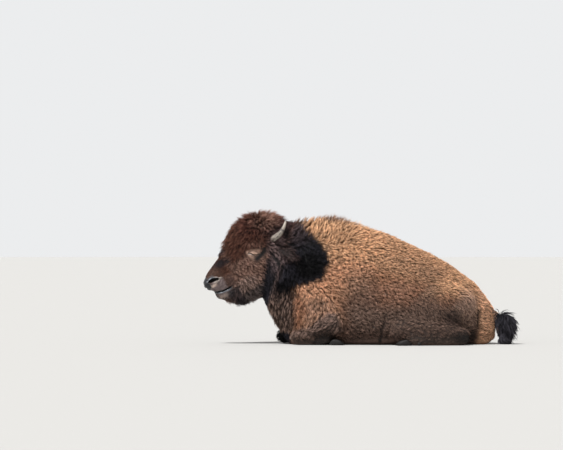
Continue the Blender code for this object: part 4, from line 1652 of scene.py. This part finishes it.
COAT = (
    CoatPiece(Patch.CROWN, "hair_dark", Grain.LONG, 0.0034, 0.011, 0.012, 0.50, 0.50, 0.25, 3),
    CoatPiece(Patch.CHEEKS, "hair_dark", Grain.LONG, 0.0038, 0.012, 0.012, 0.75, 0.50, 0.30, 5),
    CoatPiece(Patch.FACE, "hair_dark", Grain.SHORT, 0.0022, 0.009, 0.009, 0.40, 0.30, 0.15, 7),
    CoatPiece(Patch.MANE, "hair_dark", Grain.LONG, 0.0041, 0.018, 0.016, 0.75, 0.42, 0.25, 11),
    CoatPiece(Patch.HUMP, "hair_tan", Grain.SHORT, 0.0034, 0.010, 0.011, 0.62, 0.62, 0.36, 13),
    CoatPiece(Patch.SIDE_LEFT, "hair_brown", Grain.SHORT, 0.0033, 0.009, 0.013, 0.66, 0.44, 0.30, 17),
    CoatPiece(Patch.SIDE_RIGHT, "hair_brown", Grain.SHORT, 0.0033, 0.009, 0.013, 0.66, 0.44, 0.30, 19),
    CoatPiece(Patch.RUMP_LEFT, "hair_brown", Grain.SHORT, 0.0036, 0.008, 0.012, 0.62, 0.38, 0.25, 23),
    CoatPiece(Patch.RUMP_RIGHT, "hair_brown", Grain.SHORT, 0.0036, 0.008, 0.012, 0.62, 0.38, 0.25, 29),
    CoatPiece(Patch.FORELEGS, "hair_brown", Grain.SHORT, 0.0036, 0.012, 0.015, 0.72, 0.38, 0.25, 31),
    CoatPiece(Patch.HIND_LEGS, "hair_brown", Grain.SHORT, 0.0036, 0.014, 0.018, 0.65, 0.32, 0.20, 37),
    CoatPiece(Patch.LASHES, "hair_black", Grain.LONG, 0.0014, 0.010, 0.010, 0.10, 0.30, 0.10, 43),
    CoatPiece(Patch.TAIL, "hair_black", Grain.LONG, 0.0030, 0.018, 0.018, 0.40, 0.30, 0.20, 41),
)


class Coat:
    """The coat: locks planted over the skin, each piece by the same tree of Geometry Nodes."""

    SLOPE = math.radians(36)  # how steeply the rows of clumps lie to the body
    PATCH_SIZE = 0.003  # of a lock on the unwrap
    FLOOR = 0.0008  # how high the lowest hair lies
    CROWDING = 3.0  # roots that are tried in each square of the spacing
    QUICK_SPACING = 1.6  # how much further apart the locks of a quicker, coarser coat would stand
    MEASURES = ("spacing", "clump_along", "clump_across", "pull", "ruffle", "swirl")
    CARRIED = (
        "lie", "outward", "lean", "root", "lift", "length", "width", "cover", "piece", "strand",
        "bare", "wet", "under",
    )

    def __init__(self, skin: bpy.types.Object) -> None:
        """Makes the locks and the tree.

        Args:
            skin: What the coat grows on.
        """
        self.skin, self.locks = skin, {}
        for grain in Grain:
            self.locks[grain] = bpy.data.collections.new(f"locks_{grain.name}".lower())
            for curl in Curl:
                self.locks[grain].objects.link(Lock(curl, grain).build())
        self.tree = self.plant()

    def plant(self) -> bpy.types.NodeTree:
        """Builds the tree that sets locks on the skin.

        Returns:
            The tree.
        """
        group = bpy.data.node_groups.new("plant_locks", "GeometryNodeTree")
        face = group.interface
        face.new_socket(name="Geometry", in_out="OUTPUT", socket_type="NodeSocketGeometry")
        kinds = {"Geometry": "Geometry", "locks": "Collection", "finish": "Material", "piece": "Int"}
        kinds |= dict.fromkeys(self.MEASURES, "Float") | {"seed": "Int"}
        for name, kind in kinds.items():
            face.new_socket(name=name, in_out="INPUT", socket_type=f"NodeSocket{kind}")
        tree = Tree(group)
        given = tree.add("NodeGroupInput")

        def carried(name: str, kind: str = "FLOAT") -> Term:
            """A value that the skin or the locks carry."""
            return tree.first("GeometryNodeInputNamedAttribute", {"Name": name}, data_type=kind)

        def chance(low: float, high: float, salt: int) -> Term:
            """A random number for each lock."""
            inputs = {"Min": low, "Max": high, "Seed": given["seed"] + float(salt)}
            return tree.first("FunctionNodeRandomValue", inputs, data_type="FLOAT")

        def keep(name: str, value: Term, kind: str = "FLOAT", domain: str = "POINT") -> None:
            """Lets the geometry carry a value.

            Args:
                name: The name that it's carried under.
                value: The value.
                kind: Its data type.
                domain: What has a value each.
            """
            nonlocal grown
            inputs = {"Geometry": grown, "Name": name, "Value": value}
            grown = tree.first("GeometryNodeStoreNamedAttribute", inputs, data_type=kind, domain=domain)

        def rotate(vector: Term, angle: float) -> Term:
            """A vector turned about the Y axis."""
            inputs = {"Vector": vector, "Angle": angle}
            return tree.first("ShaderNodeVectorRotate", inputs, rotation_type="Y_AXIS")

        inputs = {"A": carried("piece", "INT"), "B": given["piece"]}
        here = tree.first("FunctionNodeCompare", inputs, data_type="INT", operation="EQUAL")
        spread = {
            "Mesh": given["Geometry"],
            "Selection": here,
            "Distance Min": given["spacing"],
            "Density Max": self.CROWDING / (given["spacing"] * given["spacing"]),
            "Density Factor": carried("cover"),
            "Seed": given["seed"],
        }
        grown = tree.first("GeometryNodeDistributePointsOnFaces", spread, distribute_method="POISSON")
        outward, lie = carried("outward", "FLOAT_VECTOR"), carried("lie", "FLOAT_VECTOR")
        # A lock belongs to the clump that its root is in, and turns, rises and curls with it.
        cell = tree.join(given["clump_along"], given["clump_across"], given["clump_across"])
        scaled = tree.vector("DIVIDE", rotate(tree.first("GeometryNodeInputPosition"), -self.SLOPE), cell)
        inputs = {"Vector": scaled, "Scale": 1.0, "Randomness": 1.0}
        clump = tree.add("ShaderNodeTexVoronoi", inputs, feature="F1")
        yawing, rising, fate = tree.split(clump["Color"])
        lift = carried("lift") * (rising * 0.50 + 0.76) + chance(-0.16, 0.16, 2) * given["ruffle"]
        yaw = (yawing * 2.4 - 1.2 + chance(-0.35, 0.35, 4)) * given["ruffle"]
        turn = tree.join(chance(-0.5, 0.5, 3), lift * -1.0, yaw)
        inputs = {"Primary Axis": outward, "Secondary Axis": lie}
        frame = tree.first("FunctionNodeAxesToRotation", inputs, primary_axis="Z", secondary_axis="X")
        inputs = {"Rotation": frame, "Rotate By": tree.first("FunctionNodeEulerToRotation", {"Euler": turn})}
        frame = tree.first("FunctionNodeRotateRotation", inputs, rotation_space="LOCAL")
        length = carried("length") * chance(0.80, 1.14, 5) * (1.20 - clump["Distance"] * 0.55)
        length = length * (fate * 0.24 + 0.88)
        size = tree.join(length, carried("width") * chance(0.75, 1.25, 6), length)
        lean = tree.vector("MULTIPLY", tree.vector("SUBTRACT", clump["Position"], scaled), cell)
        lean = rotate(lean, self.SLOPE)
        flat = tree.scale(outward, tree.vector("DOT_PRODUCT", lean, outward))
        lean = tree.scale(tree.vector("SUBTRACT", lean, flat), given["pull"])
        aside = tree.vector("CROSS_PRODUCT", outward, lie)
        swirl = (rising * 2.0 - 1.0) * length * given["swirl"]
        lean = tree.vector("ADD", lean, tree.scale(aside, swirl))
        keep("lean", lean, "FLOAT_VECTOR")
        keep("edge", clump["Distance"])
        keep("root", carried(UV_MAP, "FLOAT_VECTOR"), "FLOAT_VECTOR")
        keep("tint", fate * 0.6 + chance(0.0, 0.4, 7))
        inputs = {"Collection": given["locks"], "Separate Children": True}
        locks = tree.first("GeometryNodeCollectionInfo", inputs)
        inputs = {"Min": 0, "Max": len(Curl) - 1, "Seed": given["seed"]}
        planted = {
            "Points": tree.first("GeometryNodeRemoveAttribute", {"Geometry": grown, "Name": UV_MAP}),
            "Instance": locks,
            "Pick Instance": True,
            "Instance Index": tree.first("FunctionNodeRandomValue", inputs, data_type="INT"),
            "Rotation": frame,
            "Scale": size,
        }
        grown = tree.first("GeometryNodeInstanceOnPoints", planted)
        grown = tree.first("GeometryNodeRealizeInstances", {"Geometry": grown})
        bow = tree.scale(carried("lean", "FLOAT_VECTOR"), carried("reach") ** 1.4)
        grown = tree.first("GeometryNodeSetPosition", {"Geometry": grown, "Offset": bow})
        x, y, z = tree.split(tree.first("GeometryNodeInputPosition"))
        above = tree.join(x, y, z.at_least(self.FLOOR))
        grown = tree.first("GeometryNodeSetPosition", {"Geometry": grown, "Position": above})
        small = tree.vector("SUBTRACT", carried("strand", "FLOAT_VECTOR"), (0.5, 0.5, 0.0))
        spot = tree.vector("ADD", carried("root", "FLOAT_VECTOR"), tree.scale(small, self.PATCH_SIZE))
        keep(UV_MAP, spot, "FLOAT2", "CORNER")
        grown = tree.first("GeometryNodeSetMaterial", {"Geometry": grown, "Material": given["finish"]})
        tree.add("NodeGroupOutput", {"Geometry": grown})
        return group

    def grow(self, piece: CoatPiece) -> None:
        """Plants one piece of the coat and makes it a plain mesh.

        Args:
            piece: What it's like.
        """
        obj = new_object(piece.name, self.skin.data)
        plant = obj.modifiers.new("plant", "NODES")
        plant.node_group = self.tree
        given = {name: getattr(piece, name) for name in (*self.MEASURES, "seed")}
        given |= {"locks": self.locks[piece.grain], "piece": piece.patch.value}
        given["finish"] = piece.finish.make()
        for socket in self.tree.interface.items_tree:
            if socket.in_out == "INPUT" and socket.name in given:
                plant[socket.identifier] = given[socket.name]
        settle(obj)
        for name in self.CARRIED:
            if name in obj.data.attributes:
                obj.data.attributes.remove(obj.data.attributes[name])
        piece.dress(obj)


@dataclass(frozen=True)
class Horn(Dressed):
    """A short upswept horn of a young cow, as a smooth ringed spike."""

    finish: Finish = HornFinish()
    slot: str = "horn"
    places: tuple = (
        (-0.474, 0.040, 0.602),
        (-0.460, 0.095, 0.612),
        (-0.443, 0.150, 0.625),
        (-0.414, 0.190, 0.647),
        (-0.391, 0.204, 0.683),
        (-0.380, 0.200, 0.716),
    )
    radii: tuple = (0.0185, 0.0182, 0.0176, 0.0158, 0.0104, 0.0064)
    sides: int = 28
    grain: float = 5.0  # the length that the streaks' pattern gives the horn, to its half width
    steps: int = 14  # rings to a stretch between two places
    caps: int = 6  # rings to the rounded tip
    ridge: float = 0.00045  # the height of the rings of growth at the foot

    def curve(self, values: tuple, t: float) -> Vector | float:
        """A smooth value through the given ones.

        Args:
            values: The values to pass through.
            t: How far along, from 0 to the number of the last value.

        Returns:
            The value there.
        """
        k = min(int(t), len(values) - 2)
        u = t - k
        a, b = values[k], values[k + 1]
        before = values[k - 1] if k else 2 * a - b
        after = values[k + 2] if k + 2 < len(values) else 2 * b - a
        slope, leave, h = (b - before) * 0.5, (after - a) * 0.5, u * u
        ends = a * (2 * h * u - 3 * h + 1) + slope * (h * u - 2 * h + u)
        return ends + b * (3 * h - 2 * h * u) + leave * (h * u - h)

    def build(self, side: float, name: str) -> bpy.types.Object:
        """Makes the horn of one side.

        Args:
            side: The sign of Y on that side.
            name: The piece's name.

        Returns:
            The horn.
        """
        line = tuple(Vector((x, y * side, z)) for x, y, z in self.places)
        count, last = (len(line) - 1) * self.steps, len(line) - 1
        bm = bmesh.new()
        reach = bm.verts.layers.float.new("reach")
        wrap = bm.verts.layers.float_vector.new("wrap")
        rings, across = [], Vector((1, 0, 0))
        for k in range(count + self.caps):
            t, share = min(k, count) / self.steps, min(k / count, 1.0)
            ahead = self.curve(line, min(t + 0.05, last)) - self.curve(line, max(t - 0.05, 0))
            ahead.normalize()
            across = (across - ahead * across.dot(ahead)).normalized()
            up = ahead.cross(across)
            ridge = self.ridge * math.sin(share * 95) * max(0.0, 1 - share * 1.8)
            rise = math.pi / 2 * max(k - count, 0) / self.caps
            at = self.curve(line, t) + ahead * self.radii[-1] * math.sin(rise)
            radius = (self.curve(self.radii, t) + ridge) * math.cos(rise)
            ring = []
            for i in range(self.sides):
                c, s = math.cos(math.tau * i / self.sides), math.sin(math.tau * i / self.sides)
                vert = bm.verts.new(at + (across * c + up * s) * radius)
                vert[reach], vert[wrap] = share, (c, s, share * self.grain)
                ring.append(vert)
            rings.append(ring)
        ahead = (line[-1] - self.curve(line, last - 0.05)).normalized()
        tip = bm.verts.new(line[-1] + ahead * self.radii[-1])
        tip[reach], tip[wrap] = 1.0, (0.0, 0.0, self.grain)
        close_rings(bm, rings, tip)
        return new_object(name, build_mesh(bm, name))


@dataclass(frozen=True)
class Hooves(Dressed):
    """The claws and dewclaws of the four feet, rounded off inside their solids."""

    finish: Finish = HoofFinish()
    slot: str = "hoof"
    rounding: int = 2
    flat: float = math.radians(2)  # faces that meet at less than this are one

    def build(self, name: str, solid: bpy.types.Object) -> bpy.types.Object:
        """Makes one claw or dewclaw.

        Args:
            name: The piece's name.
            solid: The solid that it follows.

        Returns:
            The claw.
        """
        bm = bmesh.new()
        bm.from_mesh(solid.data)
        bmesh.ops.remove_doubles(bm, verts=bm.verts, dist=MERGE)
        bmesh.ops.dissolve_limit(bm, angle_limit=self.flat, verts=bm.verts, edges=bm.edges)
        obj = new_object(name, build_mesh(bm, name, smooth=False))
        subdivide = obj.modifiers.new("round", "SUBSURF")
        subdivide.levels = subdivide.render_levels = self.rounding
        settle(obj)
        obj.data.shade_smooth()
        return obj


@dataclass(frozen=True)
class Eye(Dressed):
    """An eyeball behind closed lids."""

    finish: Finish = EyeFinish()
    slot: str = "eye"
    radius: float = EYE_RADIUS

    def build(self, side: float, name: str) -> bpy.types.Object:
        """Makes the eye of one side.

        Args:
            side: The sign of Y on that side.
            name: The piece's name.

        Returns:
            The eye.
        """
        bm = bmesh.new()
        place = Matrix.Translation(HEAD.eye(side))
        bmesh.ops.create_icosphere(bm, subdivisions=4, radius=self.radius, matrix=place)
        return new_object(name, build_mesh(bm, name))


@dataclass(frozen=True)
class Studio:
    """A pale floor, soft lights and the camera."""

    eye_height: float = 0.70
    eye_x: float = -0.403
    distance: float = 22.0
    lens: float = 239.0
    aim: tuple = (0.0, 0.0, 0.35)  # what the lights shine at
    lights: tuple = (("key", (-2.4, -4.0, 7.6), 9.0, 5.1), ("fill", (-7.0, -5.0, 3.0), 50.0, 0.5))
    sky: tuple = (0.92, 0.93, 0.94, 1)
    sky_glow: float = 0.49
    low_glow: float = 0.42  # what is added near the horizon and below it
    low: float = 0.22  # the height, as a sine, where that begins

    def build(self) -> None:
        """Sets up the floor, lights, world and camera."""
        self.floor()
        for name, place, spread, power in self.lights:
            self.light(name, place, spread, power)
        self.world()
        self.camera()

    def floor(self) -> None:
        """Lays the floor."""
        bm = bmesh.new()
        bmesh.ops.create_circle(bm, cap_ends=True, segments=96, radius=60.0)
        obj = new_object("floor", build_mesh(bm, "floor", smooth=False))
        obj.data.materials.append(FloorFinish().make())

    def light(self, name: str, place: tuple, spread: float, power: float) -> None:
        """Sets a far soft light.

        Args:
            name: Its name.
            place: Where it shines from, to the animal.
            spread: Its width in degrees.
            power: Its strength.
        """
        data = bpy.data.lights.new(name, "SUN")
        data.angle, data.energy = math.radians(spread), power
        lamp = new_object(name, data)
        lamp.location = place
        lamp.rotation_euler = (Vector(self.aim) - Vector(place)).to_track_quat("-Z", "Y").to_euler()

    def world(self) -> None:
        """Surrounds the animal with a pale sky that is brighter near the horizon and below it."""
        world = bpy.data.worlds.new("studio")
        world.use_nodes = True
        tree = Tree(world.node_tree)
        height = tree.split(tree.add("ShaderNodeTexCoord")["Generated"])[2]
        glow = ((self.low - height) * 8.0).clamp() * self.low_glow + self.sky_glow
        shade = tree.first("ShaderNodeBackground", {"Color": self.sky, "Strength": glow})
        tree.add("ShaderNodeOutputWorld", {"Surface": shade})
        bpy.context.scene.world = world
        bpy.context.scene.view_settings.view_transform = "Standard"

    def camera(self) -> None:
        """Sets the camera, level and far away."""
        data = bpy.data.cameras.new("camera")
        data.lens, data.sensor_width, data.clip_end = self.lens, 36.0, 200.0
        camera = new_object("camera", data)
        camera.location = (self.eye_x, -self.distance, self.eye_height)
        camera.rotation_euler = (math.pi / 2, 0, 0)
        bpy.context.scene.camera = camera


def main() -> None:
    """Builds the studio and the animal, piece by piece."""
    logging.basicConfig(level=logging.INFO, format="%(name)s: %(message)s", force=True)
    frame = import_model()
    nodes = frame["nodes"]
    Studio().build()
    skin, horn, eye, hooves = Skin(nodes), Horn(), Eye(), Hooves()
    shell = skin.build()
    skin.dress(shell, *skin.flesh_names())
    coat = Coat(shell)
    for piece in COAT:
        coat.grow(piece)
    for word, side in (("left", LEFT), ("right", RIGHT)):
        horn.dress(horn.build(side, f"horn_sheath_{word}"), f"horn_{word}")
        eye.dress(eye.build(side, f"eyeball_{word}"), f"eye_{word}")
    for name in sorted(n for n in nodes if "claw" in n):
        hooves.dress(hooves.build(f"{name}_horn", nodes[name]), name)


if __name__ == "__main__":
    main()
